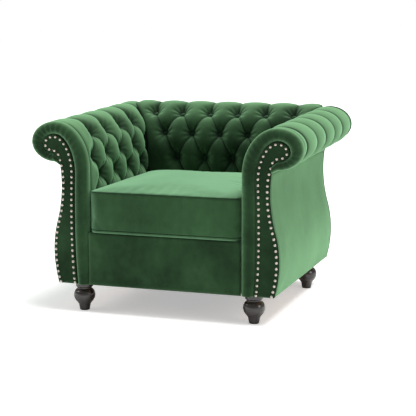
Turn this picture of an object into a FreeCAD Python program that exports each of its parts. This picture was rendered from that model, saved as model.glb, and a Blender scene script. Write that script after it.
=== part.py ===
import FreeCAD, Part
import os
from math import asin, cos, degrees, hypot, pi, radians, sin, sqrt

# A tufted club chair with rolled arms and a rolled back, in millimetres.
# X runs to the right for someone who stands in front of the chair; the front faces -Y and Z is up.
# The origin is on the floor, at the middle of the chair's overall box.

Vector = FreeCAD.Vector
RIGHT = 1
LEFT = -1

# Overall sizes
overall_width = 1003.3
overall_depth = 838.2
overall_height = 711.2
leg_height = 101.6
apron_height = 190.5
seat_height = 469.9

half_width = overall_width / 2
front_y = -overall_depth / 2
back_y = overall_depth / 2
apron_top = leg_height + apron_height

# Clearances
soft_gap = 0.3
bolt_gap = 0.1
outside_back_gap = 2.0
cushion_back_gap = 0.6
cushion_seat_gap = 0.1

# The section of an arm: u runs outwards from the middle of the chair
arm_width = 217.35
arm_roll_reach = 90.65
arm_roll_height = 72.5
arm_roll_drop = 72.0
arm_roll_end_angle = -90.0
arm_shoulder_height = 164.5
arm_below_back = 4.2
arm_rise = 22.5
arm_neck_inset = 19.5
arm_neck_drop = 11.0
arm_base_inset = 97.65
arm_fullness = 17.0
arm_waist_inset = 16.0
arm_side_shares = (0.277, 0.546, 0.773)
arm_back_setback = 69.1

arm_inner = half_width - arm_width
arm_crest = half_width - arm_roll_reach
arm_crest_z = overall_height - arm_below_back - arm_rise
arm_shoulder_z = arm_crest_z - arm_shoulder_height
arm_roll_z = arm_crest_z - arm_roll_height
arm_roll_bottom_z = arm_roll_z - arm_roll_drop
arm_neck = (arm_crest - arm_neck_inset, arm_roll_bottom_z - arm_neck_drop)
arm_back_y = back_y - arm_back_setback
arm_base = half_width - arm_base_inset
arm_side_z = [leg_height + (arm_neck[1] - leg_height) * share for share in arm_side_shares]
arm_bulge = (arm_base + arm_fullness, arm_side_z[0])
arm_turn = (arm_base, arm_side_z[1])
arm_waist = (arm_base - arm_waist_inset, arm_side_z[2])

# The section of the back: u runs from the front to the rear
back_depth = 234.1
back_roll_reach = 81.1
back_roll_height = 71.2
back_roll_drop = 75.0
back_roll_end_angle = -75.0
back_neck_drop = 13.0
back_end_inset = 129.65
back_low_inset = 33.7
back_low_drop = 7.0

back_inner = back_y - back_depth
back_crest = back_y - back_roll_reach
back_shoulder_z = arm_shoulder_z
back_roll_z = overall_height - back_roll_height
back_roll_bottom_z = back_roll_z - back_roll_drop
back_neck_z = back_roll_bottom_z - back_neck_drop
back_half_width = half_width - back_end_inset
back_low_half_width = arm_inner + back_low_inset
back_low_z = back_neck_z - back_low_drop

# Upholstery
pad_thickness = 34.0
pad_foot_drop = 37.1
panel_thickness = 4.0
border_depth = 33.8
border_round = 12.0
facing_setback = 10.1
facing_cover_thickness = 8.0
pad_setback = 36.1
apron_setback = 7.1
apron_thickness = 8.0

pad_foot_z = apron_top - pad_foot_drop
border_back_y = front_y + border_depth
facing_cover_front_y = front_y + facing_setback
pad_front_y = front_y + pad_setback
apron_front_y = front_y + apron_setback
apron_back_y = apron_front_y + apron_thickness

# The facing on the arm's front, inside the padded border
facing_foot_inset = 45.7
facing_side_inset = 50.7
facing_bow = 8.5
facing_bow_height = 168.4
facing_shoulder_drop = 20.0
facing_top_offset = (2.0, -44.5)
facing_scroll_drop = 8.0
facing_scroll_width = 43.0
facing_scroll_rise = 31.0
facing_end_offset = (1.5, 17.0)

facing_foot = arm_inner + facing_foot_inset
facing_middle = (facing_foot + facing_bow, leg_height + facing_bow_height)
facing_side = arm_inner + facing_side_inset
facing_side_z = arm_shoulder_z - facing_shoulder_drop
facing_top = (arm_crest + facing_top_offset[0], arm_crest_z + facing_top_offset[1])
facing_scroll_z = arm_roll_z - facing_scroll_drop
facing_scroll_bottom_z = arm_roll_bottom_z + facing_scroll_rise
facing_end = (arm_neck[0] + facing_end_offset[0], arm_roll_bottom_z + facing_end_offset[1])

# Nails with domed heads, round the facing
nail_head_radius = 4.7
nail_head_height = 3.2
nail_shank_radius = 0.8
nail_shank_length = 12.0
nail_pitch = 20.5
nail_inset = 9.5
nail_bottom_margin = 5.0
nail_bore_end_gap = 0.5

# Tufting
button_radius = 10.0
button_height = 7.0
pit_depth = 22.0
pit_floor_radius = 11.0
pit_mouth_radius = 25.0
crease_width = 12.0
crease_depth = 8.0
pleat_width = 10.0
pleat_depth = 6.0
arm_button_pitch = 130.0
arm_first_button_setback = 99.1
arm_first_button_y = front_y + arm_first_button_setback
arm_row_angles = (47.0, 13.0)
arm_low_row_drop = 32.0
arm_low_row_z = arm_shoulder_z - arm_low_row_drop
back_row_counts = (6, 5, 4)
back_end_margin = 85.75
back_button_pitch = 2 * (back_half_width - back_end_margin) / (back_row_counts[0] - 1)
back_row_angles = (58.0, 24.4)
back_low_row_drop = 20.0
back_low_row_z = back_shoulder_z - back_low_row_drop
back_crease_reach = 1.12 * back_button_pitch

# Cutting shapes reach this far past the faces that they cut
tool_reach = 10.0
pleat_lip = 1.0
pleat_end_margin = 2.0

# Seat cushion
cushion_side_gap = 0.9
cushion_setback = 5.1
cushion_crown = 33.9
cushion_half_width = arm_inner - cushion_side_gap
cushion_front_y = front_y + cushion_setback
cushion_back_y = back_inner - cushion_back_gap
cushion_bottom_z = apron_top + cushion_seat_gap
cushion_edge_z = seat_height - cushion_crown
cushion_draw = 4.0
cushion_end_draw = 6.0
cushion_end_drop = 14.0
cushion_fullness = 0.45
cushion_stations = (0.0, 0.03, 0.1, 0.22, 0.36, 0.5, 0.64, 0.78, 0.9, 0.97, 1.0)
cushion_cover_thickness = 1.6
cushion_corner = 14.0
cushion_least_crown = 3.0

# Timber
board = 18.0
rail = 22.0
base_board_inset = 3.7
base_board_margin = 8.0
side_rail_drop = 5.0
rear_rail_setback = 25.0
rear_rail_height = 84.7
apron_board_lift = 8.4
base_inner = arm_inner + base_board_inset
base_outer = arm_base - base_board_margin
side_rail_top_z = pad_foot_z - side_rail_drop
seat_rail_top_z = pad_foot_z - soft_gap
rear_rail_y = back_inner - rear_rail_setback
rear_rail_foot_z = seat_rail_top_z - rear_rail_height
apron_board_foot_z = leg_height + apron_board_lift
tack_rail_height = 45.0
tack_rail_thickness = 20.0
outer_rail_height = 27.0
outer_rail_drop = 2.0
top_rail_thickness = 20.0
arm_top_rail_width = 46.5
back_top_rail_depth = 89.0
back_board = 20.0
back_board_lean = 12.0
back_bottom_rail_height = 60.0
back_middle_rail_drop = 10.0
back_middle_rail_z = back_shoulder_z - back_middle_rail_drop
back_middle_rail_height = 40.0
back_end_play = 1.0
frame_lift = 3.4
frame_foot_z = leg_height + frame_lift

# Seat suspension
spring_wire = 1.5
spring_amplitude = 26.0
spring_bend = 11.5
spring_count = 5
spring_side_margin = 72.0
spring_spacing = 2 * (base_inner - spring_side_margin) / (spring_count - 1)
spring_height = 2.0
clip_length = 12.0
clip_width = 10.0
clip_height = 4.1
clip_bore_gap = 0.2
deck_pad_gap = 0.1
deck_cloth_thickness = 1.2
dust_cover_thickness = 1.0

# Legs
front_leg_inset = (36.7, 50.1)
rear_leg_inset = (68.7, 186.1)
front_leg = (arm_inner + front_leg_inset[0], front_y + front_leg_inset[1])
rear_leg = (arm_inner + rear_leg_inset[0], back_y - rear_leg_inset[1])
leg_foot_radius = 18.0
leg_ankle_radius = 21.5
leg_ankle_z = 24.0
leg_ring_radius = 25.0
leg_ring_z = 28.0
leg_ball_radius = 38.8
leg_ball_drop = 44.1
leg_ball_z = leg_height - leg_ball_drop
leg_neck_radius = 26.0
leg_neck_height = 5.0
leg_collar_radius = 31.5
leg_collar_height = 13.6
leg_collar_slope = 3.0
leg_collar_z = leg_height - leg_collar_height
leg_neck_top_z = leg_collar_z - leg_collar_slope
leg_neck_z = leg_neck_top_z - leg_neck_height
hanger_bolt_radius = 4.0
hanger_bolt_depth = 40.0
tee_nut_flange_radius = 11.0
tee_nut_flange_thickness = 1.5
tee_nut_barrel_radius = 5.2
tee_nut_barrel_length = 12.5

# Bolts that hold the back between the arms
back_bolt_radius = 4.0
back_bolt_offsets = ((169.1, 58.4), (107.1, 103.4))
back_bolt_places = [(back_y - offset, leg_height + height) for offset, height in back_bolt_offsets]
back_bolt_end = 9.0
bolt_head_radius = 7.0
bolt_head_height = 5.0
nut_thickness = 6.5

# Derived planes
facing_cover_back_y = facing_cover_front_y + facing_cover_thickness
front_board_back_y = border_back_y + board
outside_back_y = arm_back_y - panel_thickness
rear_board_back_y = outside_back_y - outside_back_gap
rear_board_front_y = rear_board_back_y - board
arm_length = arm_back_y - front_y
core_inset = pad_thickness + 2 * soft_gap
side_inset = panel_thickness + 2 * soft_gap
side_rail_outer = arm_inner + core_inset
side_board_outer = base_inner
side_board_inner = side_board_outer - back_board
base_top_z = leg_height + board
rear_rail_back_y = rear_rail_y + rail
apron_side = arm_inner - soft_gap

nodes = {}


def save(name, *shapes):
    """Keep one named piece, or a group of like pieces."""
    solids = [solid for shape in shapes for solid in shape.Solids]
    nodes[name] = solids[0] if len(solids) == 1 else Part.makeCompound(solids)


def block(x0, x1, y0, y1, z0, z1):
    corner = Vector(min(x0, x1), min(y0, y1), min(z0, z1))
    return Part.makeBox(abs(x1 - x0), abs(y1 - y0), abs(z1 - z0), corner)


def mirrored(shape):
    return shape.mirror(Vector(0, 0, 0), Vector(1, 0, 0))


def both_sides(name, shape):
    """Save a piece on the +X side and its twin on the other side."""
    save(name + "_right", shape)
    save(name + "_left", mirrored(shape))


def pair(name, shape):
    """Save a piece and its twin as one group."""
    save(name, shape, mirrored(shape))


def arm_place(y):
    return lambda u, z: Vector(u, y, z)


def back_place(x):
    return lambda u, z: Vector(x, u, z)


def line(place, start, end):
    return Part.LineSegment(place(*start), place(*end)).toShape()


def arc(place, start, middle, end):
    return Part.Arc(place(*start), place(*middle), place(*end)).toShape()


def ellipse_point(centre, across, up, angle):
    return (centre[0] + across * cos(radians(angle)), centre[1] + up * sin(radians(angle)))


def ellipse_arcs(place, centre, across, up, start, end):
    """Two arcs that follow a stretch of an ellipse."""
    at = [ellipse_point(centre, across, up, start + (end - start) * k / 4) for k in range(5)]
    return [arc(place, at[0], at[1], at[2]), arc(place, at[2], at[3], at[4])]


class Section:
    """The rolled outline that the arms and the back share, with its own sizes."""

    def __init__(self, inner, crest, outer, shoulder_z, crest_z, roll_z, roll_bottom_z, end_angle, neck):
        self.inner = inner
        self.crest = crest
        self.outer = outer
        self.shoulder_z = shoulder_z
        self.crest_z = crest_z
        self.roll_z = roll_z
        self.roll_bottom_z = roll_bottom_z
        self.end_angle = end_angle
        self.neck = neck

    def shoulder(self, inset):
        centre = (self.crest, self.shoulder_z)
        return centre, self.crest - self.inner - inset, self.crest_z - self.shoulder_z - inset

    def face_point(self, angle, inset):
        centre, across, up = self.shoulder(inset)
        return ellipse_point(centre, across, up, 180.0 - angle)

    def face_normal(self, angle):
        centre, across, up = self.shoulder(0.0)
        u = -cos(radians(angle)) / across
        z = sin(radians(angle)) / up
        length = hypot(u, z)
        return (u / length, z / length)

    def roll_arcs(self, place, inset):
        centre = (self.crest, self.roll_z)
        across = self.outer - self.crest - inset
        up = self.crest_z - self.roll_z - inset
        down = self.roll_z - self.roll_bottom_z - inset
        edges = ellipse_arcs(place, centre, across, up, 90.0, 0.0)
        edges += ellipse_arcs(place, centre, across, down, 0.0, self.end_angle)
        return edges, ellipse_point(centre, across, down, self.end_angle)

    def outline(self, place, inset, foot_z):
        """The face, the shoulder and the roll, from the foot to the roll's end."""
        centre, across, up = self.shoulder(inset)
        face = self.inner + inset
        edges = [line(place, (face, foot_z), (face, self.shoulder_z))]
        edges += ellipse_arcs(place, centre, across, up, 180.0, 90.0)
        roll, end = self.roll_arcs(place, inset)
        return edges + roll, (face, foot_z), end


def arm_section(y):
    """The arm's outline at one place along its length: the roll rises to the rear."""
    rise = arm_rise * (y - front_y) / arm_length
    return Section(arm_inner, arm_crest, half_width, arm_shoulder_z, arm_crest_z + rise, arm_roll_z + rise,
                   arm_roll_bottom_z + rise, arm_roll_end_angle, arm_neck)


back_section = Section(back_inner, back_crest, back_y, back_shoulder_z, overall_height, back_roll_z,
                       back_roll_bottom_z, back_roll_end_angle, (arm_back_y + soft_gap, back_neck_z))


def pad_wire(section, place):
    """A skin of padding along the outline, open towards the frame inside."""
    outer, outer_start, outer_end = section.outline(place, 0.0, pad_foot_z)
    inner, inner_start, inner_end = section.outline(place, pad_thickness, pad_foot_z)
    ends = [line(place, outer_end, section.neck), line(place, section.neck, inner_end)]
    foot = line(place, inner_start, outer_start)
    return Part.Wire(outer + ends + inner[::-1] + [foot])


def envelope_wire(section, place, inset, foot_z):
    """The whole space inside the outline."""
    edges, start, end = section.outline(place, inset, foot_z)
    low = (section.neck[0], foot_z)
    return Part.Wire(edges + [line(place, end, section.neck), line(place, section.neck, low),
                              line(place, low, start)])


def core_wire(section, place):
    """The firm roll under the padding, with a flat underside."""
    centre, across, up = section.shoulder(core_inset)
    flat_z = section.roll_bottom_z + core_inset
    angle = 180.0 - degrees(asin((flat_z - section.shoulder_z) / up))
    first = ellipse_point(centre, across, up, angle)
    roll, last = section.roll_arcs(place, core_inset)
    edges = ellipse_arcs(place, centre, across, up, angle, 90.0) + roll
    if abs(last[1] - flat_z) > 1e-6:
        edges.append(line(place, last, (last[0], flat_z)))
        last = (last[0], flat_z)
    return Part.Wire(edges + [line(place, last, first)])


def loft(wires, ruled=True):
    return Part.makeLoft(wires, True, ruled)


def prism(wire, direction):
    return Part.Face(wire).extrude(direction)


def panel_side(place, inset):
    """The outside line of an arm: drawn in at the base, full, and waisted under the roll."""
    lower = arc(place, (arm_base - inset, leg_height), (arm_bulge[0] - inset, arm_bulge[1]),
                (arm_turn[0] - inset, arm_turn[1]))
    upper = arc(place, (arm_turn[0] - inset, arm_turn[1]), (arm_waist[0] - inset, arm_waist[1]),
                (arm_neck[0] - inset, arm_neck[1]))
    return [lower, upper]


# The back: its envelope is also the space that the arms leave free for it

def back_space(grow):
    """The room that the back unit takes, narrower below where it stands between the arms."""
    wire = envelope_wire(back_section, back_place(-back_half_width - grow), -grow, leg_height)
    whole = prism(wire, Vector(2 * (back_half_width + grow), 0, 0))
    for side in (LEFT, RIGHT):
        inner = side * (back_low_half_width + grow)
        outer = side * (back_half_width + tool_reach)
        whole = whole.cut(block(inner, outer, back_inner - tool_reach, back_y, 0.0, back_low_z - grow))
    return whole


def back_face_y(z):
    """How far to the rear the back's front face lies at a height."""
    centre, across, up = back_section.shoulder(0.0)
    lift = max(0.0, z - back_shoulder_z) / up
    return back_crest - across * sqrt(1.0 - lift ** 2)


def pit(place_point, normal):
    """The dimple round a button: a cone with a flat floor."""
    deep = place_point - normal * pit_depth
    slope = (pit_mouth_radius - pit_floor_radius) / pit_depth
    height = pit_depth + tool_reach
    return Part.makeCone(pit_floor_radius, pit_floor_radius + slope * height, height, deep, normal)


def crease(start, end, outwards):
    """A sewn crease between two buttons: a groove with a pointed floor."""
    along = end - start
    side = along.cross(outwards)
    side.normalize()
    out = side.cross(along)
    out.normalize()
    if out.dot(outwards) < 0:
        out = out * -1.0
    floor = start - out * crease_depth
    top = out * tool_reach
    wide = side * (crease_width / 2 * (crease_depth + tool_reach) / crease_depth)
    corners = [floor, start + top + wide, start + top - wide, floor]
    return Part.Face(Part.makePolygon(corners)).extrude(along)


def turned(profile_edges):
    return Part.Face(Part.Wire(profile_edges)).revolve(Vector(0, 0, 0), Vector(0, 0, 1), 360)


def placed(shape, point, direction):
    """Move a shape that stands on the origin along +Z to a point, and turn it to a direction."""
    shape.Placement = FreeCAD.Placement(point, FreeCAD.Rotation(Vector(0, 0, 1), direction))
    return shape


def dome_arc(place, radius, edge_z, top_z):
    """The round top of a dome, from its edge to its tip on the axis."""
    rise = top_z - edge_z
    sphere = (radius ** 2 + rise ** 2) / (2 * rise)
    half_angle = asin(radius / sphere) / 2
    middle = (sphere * sin(half_angle), top_z - sphere * (1 - cos(half_angle)))
    return arc(place, (radius, edge_z), middle, (0.0, top_z))


def button(place_point, normal):
    """A covered button: a low dome on a short cylinder, standing on the pit's floor."""
    place = back_place(0.0)
    edge_z = button_height / 2
    profile = [line(place, (0.0, 0.0), (button_radius, 0.0)),
               line(place, (button_radius, 0.0), (button_radius, edge_z)),
               dome_arc(place, button_radius, edge_z, button_height),
               line(place, (0.0, button_height), (0.0, 0.0))]
    return placed(turned(profile), place_point - normal * pit_depth, normal)


def tufting_tools(rows, reach):
    """The dimples and the diamond creases between neighbouring buttons."""
    tools = [pit(point, normal) for row in rows for point, normal in row]
    for upper, lower in zip(rows, rows[1:]):
        for high, high_normal in upper:
            for low, low_normal in lower:
                if (high - low).Length < reach:
                    tools.append(crease(high, low, high_normal + low_normal))
    return tools


def row_buttons(rows):
    return [button(point, normal) for row in rows for point, normal in row]


def face_place(section, angle, low_z):
    """A place on the padded face and its direction: on the shoulder by angle, or on the flat by height."""
    if angle is None:
        return section.inner, low_z, -1.0, 0.0
    return *section.face_point(angle, 0.0), *section.face_normal(angle)


def arm_rows(first_is_top):
    """The buttons on the inner face of an arm, row by row from the top."""
    rows = []
    half = arm_button_pitch / 2
    for number, angle in enumerate((*arm_row_angles, None)):
        shifted = (number % 2 == 0) != first_is_top
        y = arm_first_button_y + (half if shifted else 0.0)
        row = []
        while True:
            u, z, normal_u, normal_z = face_place(arm_section(y), angle, arm_low_row_z)
            if y + pit_floor_radius > back_face_y(z):
                break
            row.append((Vector(u, y, z), Vector(normal_u, 0, normal_z)))
            y += arm_button_pitch
        rows.append(row)
    return rows


def pleat(section_at, place_at, at, button_point):
    """A pointed groove that runs from a top button over the roll and under it."""
    half = pleat_width / 2 * (pleat_depth + pleat_lip) / pleat_depth
    wires = [envelope_wire(section_at(at + half * side), place_at(at + half * side), inset, frame_foot_z)
             for side, inset in ((-1, -pleat_lip), (0, pleat_depth), (1, -pleat_lip))]
    section = section_at(at)
    place = place_at(at - half)
    top = overall_height + tool_reach
    far = section.outer + tool_reach
    start = button_point
    low = section.roll_bottom_z + pleat_end_margin
    corners = [start, (start[0], top), (far, top), (far, low), (section.crest, low),
               (section.crest, start[1])]
    edges = [line(place, corners[k], corners[(k + 1) % 6]) for k in range(6)]
    slab = prism(Part.Wire(edges), place_at(at + half)(0, 0) - place(0, 0))
    return slab.cut(loft(wires))


def tufted(pad, rows, tools):
    pad = pad.cut(tools)
    return max(pad.Solids, key=lambda solid: solid.Volume), row_buttons(rows)


def make_arm_pad(first_is_top):
    pad = loft([pad_wire(arm_section(y), arm_place(y)) for y in (pad_front_y, outside_back_y)])
    pad = pad.cut(back_space(soft_gap))
    rows = arm_rows(first_is_top)
    tools = tufting_tools(rows, arm_button_pitch)
    for point, normal in rows[0]:
        tools.append(pleat(arm_section, arm_place, point.y, (point.x, point.z)))
    return tufted(pad, rows, tools)


def back_rows():
    rows = []
    for angle, count in zip((*back_row_angles, None), back_row_counts):
        u, z, normal_u, normal_z = face_place(back_section, angle, back_low_row_z)
        places = [(k - (count - 1) / 2) * back_button_pitch for k in range(count)]
        rows.append([(Vector(x, u, z), Vector(0, normal_u, normal_z)) for x in places])
    return rows


def make_back_pad():
    wire = pad_wire(back_section, back_place(-back_half_width))
    pad = prism(wire, Vector(2 * back_half_width, 0, 0)).common(back_space(0.0))
    rows = back_rows()
    tools = tufting_tools(rows, back_crease_reach)
    for point, normal in rows[0]:
        tools.append(pleat(lambda x: back_section, back_place, point.x, (point.y, point.z)))
    return tufted(pad, rows, tools)


# The arm's front: border, facing and nails

def facing_inner_edges(place, grow):
    """The facing's edge against the border, from the foot over the scroll to the neck."""
    scroll = (facing_top[0], facing_scroll_z)
    side_up = facing_top[1] - facing_side_z + grow
    side_across = facing_top[0] - facing_side + grow
    edges = [arc(place, (facing_foot - grow, leg_height), (facing_middle[0] - grow, facing_middle[1]),
                 (facing_side - grow, facing_side_z))]
    edges += ellipse_arcs(place, (facing_top[0], facing_side_z), side_across, side_up, 180.0, 90.0)
    up = facing_top[1] - facing_scroll_z + grow
    edges += ellipse_arcs(place, scroll, facing_scroll_width + grow, up, 90.0, 0.0)
    down = facing_scroll_z - facing_scroll_bottom_z + grow
    edges += ellipse_arcs(place, scroll, facing_scroll_width + grow, down, 0.0, -90.0)
    end = (facing_end[0], facing_end[1] - grow)
    edges.append(line(place, ellipse_point(scroll, 0.0, down, -90.0), end))
    return edges, (facing_foot - grow, leg_height), end


def border_wire(y, inset):
    place = arm_place(y)
    outer, start, roll_end = arm_section(front_y).outline(place, inset, leg_height)
    inner, foot, end = facing_inner_edges(place, inset)
    neck = (arm_neck[0], arm_neck[1] + inset)
    return Part.Wire(outer + [line(place, roll_end, neck), line(place, neck, end)] + inner[::-1]
                     + [line(place, foot, start)])


def facing_wire(y, side_inset):
    place = arm_place(y)
    inner, foot, end = facing_inner_edges(place, -soft_gap)
    neck = (arm_neck[0] - side_inset, arm_neck[1])
    base = (arm_base - side_inset, leg_height)
    return Part.Wire(inner + [line(place, end, neck)] + panel_side(place, side_inset)[::-1]
                     + [line(place, base, foot)])


def nail_places():
    """Nail centres, evenly spaced along the facing's edge."""
    place = arm_place(facing_cover_front_y)
    inner, foot, end = facing_inner_edges(place, -nail_inset)
    side = panel_side(place, nail_inset)
    neck = (arm_neck[0] - nail_inset, arm_neck[1] + nail_inset)
    bridge = line(place, end, neck)
    drop = line(place, neck, (arm_neck[0] - nail_inset, arm_neck[1]))
    path = Part.Wire(inner + [bridge, drop] + side[::-1])
    count = int(round((path.Length - 2 * nail_bottom_margin) / nail_pitch)) + 1
    points = path.discretize(Number=count)
    first = points[0] + Vector(0, 0, nail_bottom_margin)
    last = points[-1] + Vector(0, 0, nail_bottom_margin)
    return [first] + points[1:-1] + [last]


def nail(point):
    """A domed head on a shank that points into the chair."""
    place = back_place(0.0)
    profile = [line(place, (0.0, -nail_shank_length), (nail_shank_radius, -nail_shank_length)),
               line(place, (nail_shank_radius, -nail_shank_length), (nail_shank_radius, 0.0)),
               line(place, (nail_shank_radius, 0.0), (nail_head_radius, 0.0)),
               dome_arc(place, nail_head_radius, 0.0, nail_head_height),
               line(place, (0.0, nail_head_height), (0.0, -nail_shank_length))]
    return placed(turned(profile), point, Vector(0, -1, 0))


def make_arm_front():
    round_third = border_round / 3
    layers = ((border_back_y, 0.0), (front_y + border_round, 0.0), (front_y + round_third, round_third),
              (front_y, border_round))
    border = loft([border_wire(y, inset) for y, inset in layers])
    cover = prism(facing_wire(facing_cover_front_y, 0.0), Vector(0, facing_cover_thickness, 0))
    core = prism(facing_wire(facing_cover_back_y, panel_thickness + soft_gap),
                 Vector(0, border_back_y - facing_cover_back_y, 0))
    points = nail_places()
    holes = [Part.makeCylinder(nail_shank_radius + bolt_gap / 2, nail_shank_length + nail_bore_end_gap, point,
                               Vector(0, 1, 0))
             for point in points]
    both_sides("arm_border", border)
    both_sides("facing_cover", cover.cut(holes))
    both_sides("facing_board", core.cut(holes))
    nails = [nail(point) for point in points]
    save("nails_right", *nails)
    save("nails_left", *[mirrored(one) for one in nails])


# Timber

def board_wire(y):
    """The outline of an arm board: inside the padding and behind the outside panel."""
    section = arm_section(y)
    place = arm_place(y)
    foot_z = base_top_z
    edges, start, roll_end = section.outline(place, core_inset, foot_z)
    neck = (arm_neck[0] - side_inset, arm_neck[1])
    side_wire = Part.Wire(panel_side(place, side_inset))
    low = side_wire.common(block(0, half_width, y - tool_reach, y + tool_reach, foot_z, arm_crest_z))
    low_edges = sorted(low.Edges, key=lambda edge: -edge.CenterOfMass.z)
    bottom = min((vertex.Point for vertex in low.Vertexes), key=lambda point: point.z)
    return Part.Wire(edges + [line(place, roll_end, neck)] + low_edges
                     + [line(place, (bottom.x, foot_z), start)])


def bolt_hole(x, y, z0, z1, radius):
    return Part.makeCylinder(radius, z1 - z0, Vector(x, y, z0))


def cross_bore(y, z, radius):
    """A round bore across the +X half of the chair."""
    return Part.makeCylinder(radius, half_width, Vector(0, y, z), Vector(1, 0, 0))


def make_timber():
    both_sides("arm_front_board", prism(board_wire(border_back_y), Vector(0, board, 0)))
    rear = prism(board_wire(rear_board_front_y), Vector(0, board, 0))
    rear = rear.cut(block(0, back_half_width + soft_gap, front_y, back_y, back_low_z - top_rail_thickness,
                          overall_height))
    both_sides("arm_rear_board", rear)
    base = block(base_inner, base_outer, border_back_y, rear_board_back_y, leg_height, base_top_z)
    for x, y in (front_leg, rear_leg):
        base = base.cut(bolt_hole(x, y, 0.0, overall_height, tee_nut_barrel_radius + bolt_gap))
        base = base.cut(bolt_hole(x, y, base_top_z - tee_nut_flange_thickness, overall_height,
                                  tee_nut_flange_radius + bolt_gap))
    pair("arm_base_boards", base)
    side = block(base_inner, side_rail_outer, border_back_y, rear_board_back_y, base_top_z, side_rail_top_z)
    for y, z in back_bolt_places:
        side = side.cut(cross_bore(y, z, back_bolt_radius + bolt_gap))
    pair("seat_side_rails", side)
    face = arm_inner + pad_thickness
    inner = block(face, face + tack_rail_thickness, front_board_back_y, rear_board_front_y, pad_foot_z,
                  pad_foot_z + tack_rail_height)
    pair("arm_inner_rails", inner)
    face = arm_waist[0] - side_inset
    top = arm_neck[1] - outer_rail_drop
    outer = block(face - tack_rail_thickness, face, front_board_back_y, rear_board_front_y,
                  top - outer_rail_height, top)
    pair("arm_outer_rails", outer)
    top_wires = []
    core_wires = []
    for y in (front_board_back_y, rear_board_front_y):
        section = arm_section(y)
        top = section.roll_bottom_z + core_inset
        place = arm_place(y)
        low = top - top_rail_thickness
        near = arm_neck[0] - arm_top_rail_width
        corners = [(near, low), (arm_neck[0], low), (arm_neck[0], top), (near, top)]
        edges = [line(place, corners[k], corners[(k + 1) % 4]) for k in range(4)]
        top_wires.append(Part.Wire(edges))
        core_wires.append(core_wire(section, place))
    free = back_space(2 * soft_gap)
    pair("arm_top_rails", loft(top_wires).cut(free))
    both_sides("arm_roll_core", loft(core_wires).cut(free))

    save("seat_front_rail", block(-base_inner, base_inner, border_back_y, border_back_y + rail, frame_foot_z,
                                  seat_rail_top_z))
    save("apron_board", block(-apron_side, apron_side, apron_back_y, border_back_y, apron_board_foot_z,
                              seat_rail_top_z))
    save("seat_rear_rail", block(-base_inner, base_inner, rear_rail_y, rear_rail_back_y, rear_rail_foot_z,
                                 seat_rail_top_z))


def make_back_frame():
    core_flat_z = back_section.roll_bottom_z + core_inset
    board_top = core_flat_z - top_rail_thickness
    face = back_inner + pad_thickness
    rear = rear_board_back_y
    corners = [(face, frame_foot_z), (face, back_shoulder_z), (face + back_board_lean, board_top),
               (rear, board_top), (rear, frame_foot_z)]
    place = back_place(side_board_inner)
    edges = [line(place, corners[k], corners[(k + 1) % 5]) for k in range(5)]
    side_board = prism(Part.Wire(edges), Vector(side_board_outer - side_board_inner, 0, 0))
    for y, z in back_bolt_places:
        side_board = side_board.cut(cross_bore(y, z, back_bolt_radius + bolt_gap))
    pair("back_side_boards", side_board)
    inner = side_board_inner
    save("back_bottom_rail", block(-inner, inner, rear - rail, rear, frame_foot_z, frame_foot_z
                                   + back_bottom_rail_height))
    save("back_middle_rail", block(-inner, inner, rear - rail, rear, back_middle_rail_z, back_middle_rail_z
                                   + back_middle_rail_height))
    save("back_inner_rail", block(-inner, inner, face, face + tack_rail_thickness, pad_foot_z,
                                  pad_foot_z + tack_rail_height))
    end = back_half_width - back_end_play
    save("back_top_rail", block(-end, end, rear - back_top_rail_depth, rear, board_top, core_flat_z))
    core = prism(core_wire(back_section, back_place(-end)), Vector(2 * end, 0, 0))
    save("back_roll_core", core)

    bolts = []
    nuts = []
    for y, z in back_bolt_places:
        length = side_rail_outer + back_bolt_end - inner
        shaft = Part.makeCylinder(back_bolt_radius, length, Vector(inner, y, z), Vector(1, 0, 0))
        head = Part.makeCylinder(bolt_head_radius, bolt_head_height, Vector(inner - bolt_head_height, y, z),
                                 Vector(1, 0, 0))
        bolts.append(head.fuse(shaft).removeSplitter())
        nuts.append(hex_nut(side_rail_outer, y, z))
    save("back_bolts", *bolts, *[mirrored(one) for one in bolts])
    save("back_nuts", *nuts, *[mirrored(one) for one in nuts])


def hex_nut(x, y, z):
    corners = [Vector(x, y + bolt_head_radius * cos(k * pi / 3), z + bolt_head_radius * sin(k * pi / 3))
               for k in range(7)]
    nut = Part.Face(Part.makePolygon(corners)).extrude(Vector(nut_thickness, 0, 0))
    return nut.cut(cross_bore(y, z, back_bolt_radius + bolt_gap / 2))


# Outside panels

def make_panels():
    y0 = facing_cover_back_y
    length = outside_back_y - y0
    place = arm_place(y0)
    outer = panel_side(place, 0.0)
    inner = panel_side(place, panel_thickness)
    ends = [line(place, arm_neck, (arm_neck[0] - panel_thickness, arm_neck[1])),
            line(place, (arm_base - panel_thickness, leg_height), (arm_base, leg_height))]
    outline = Part.Wire(outer + [ends[0]] + inner[::-1] + [ends[1]])
    both_sides("arm_panel", prism(outline, Vector(0, length, 0)))

    place = arm_place(outside_back_y)
    right = panel_side(place, 0.0)
    left = [mirrored(edge) for edge in right]
    step = back_half_width
    top = [arm_neck, (step, arm_neck[1]), (step, back_neck_z), (-step, back_neck_z), (-step, arm_neck[1]),
           (-arm_neck[0], arm_neck[1])]
    edges = [line(place, (-arm_base, leg_height), (arm_base, leg_height))] + right
    edges += [line(place, top[k], top[k + 1]) for k in range(5)]
    save("outside_back_panel", prism(Part.Wire(edges + left[::-1]), Vector(0, panel_thickness, 0)))
    save("apron_panel", block(-apron_side, apron_side, apron_front_y, apron_back_y, leg_height, apron_top))


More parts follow.
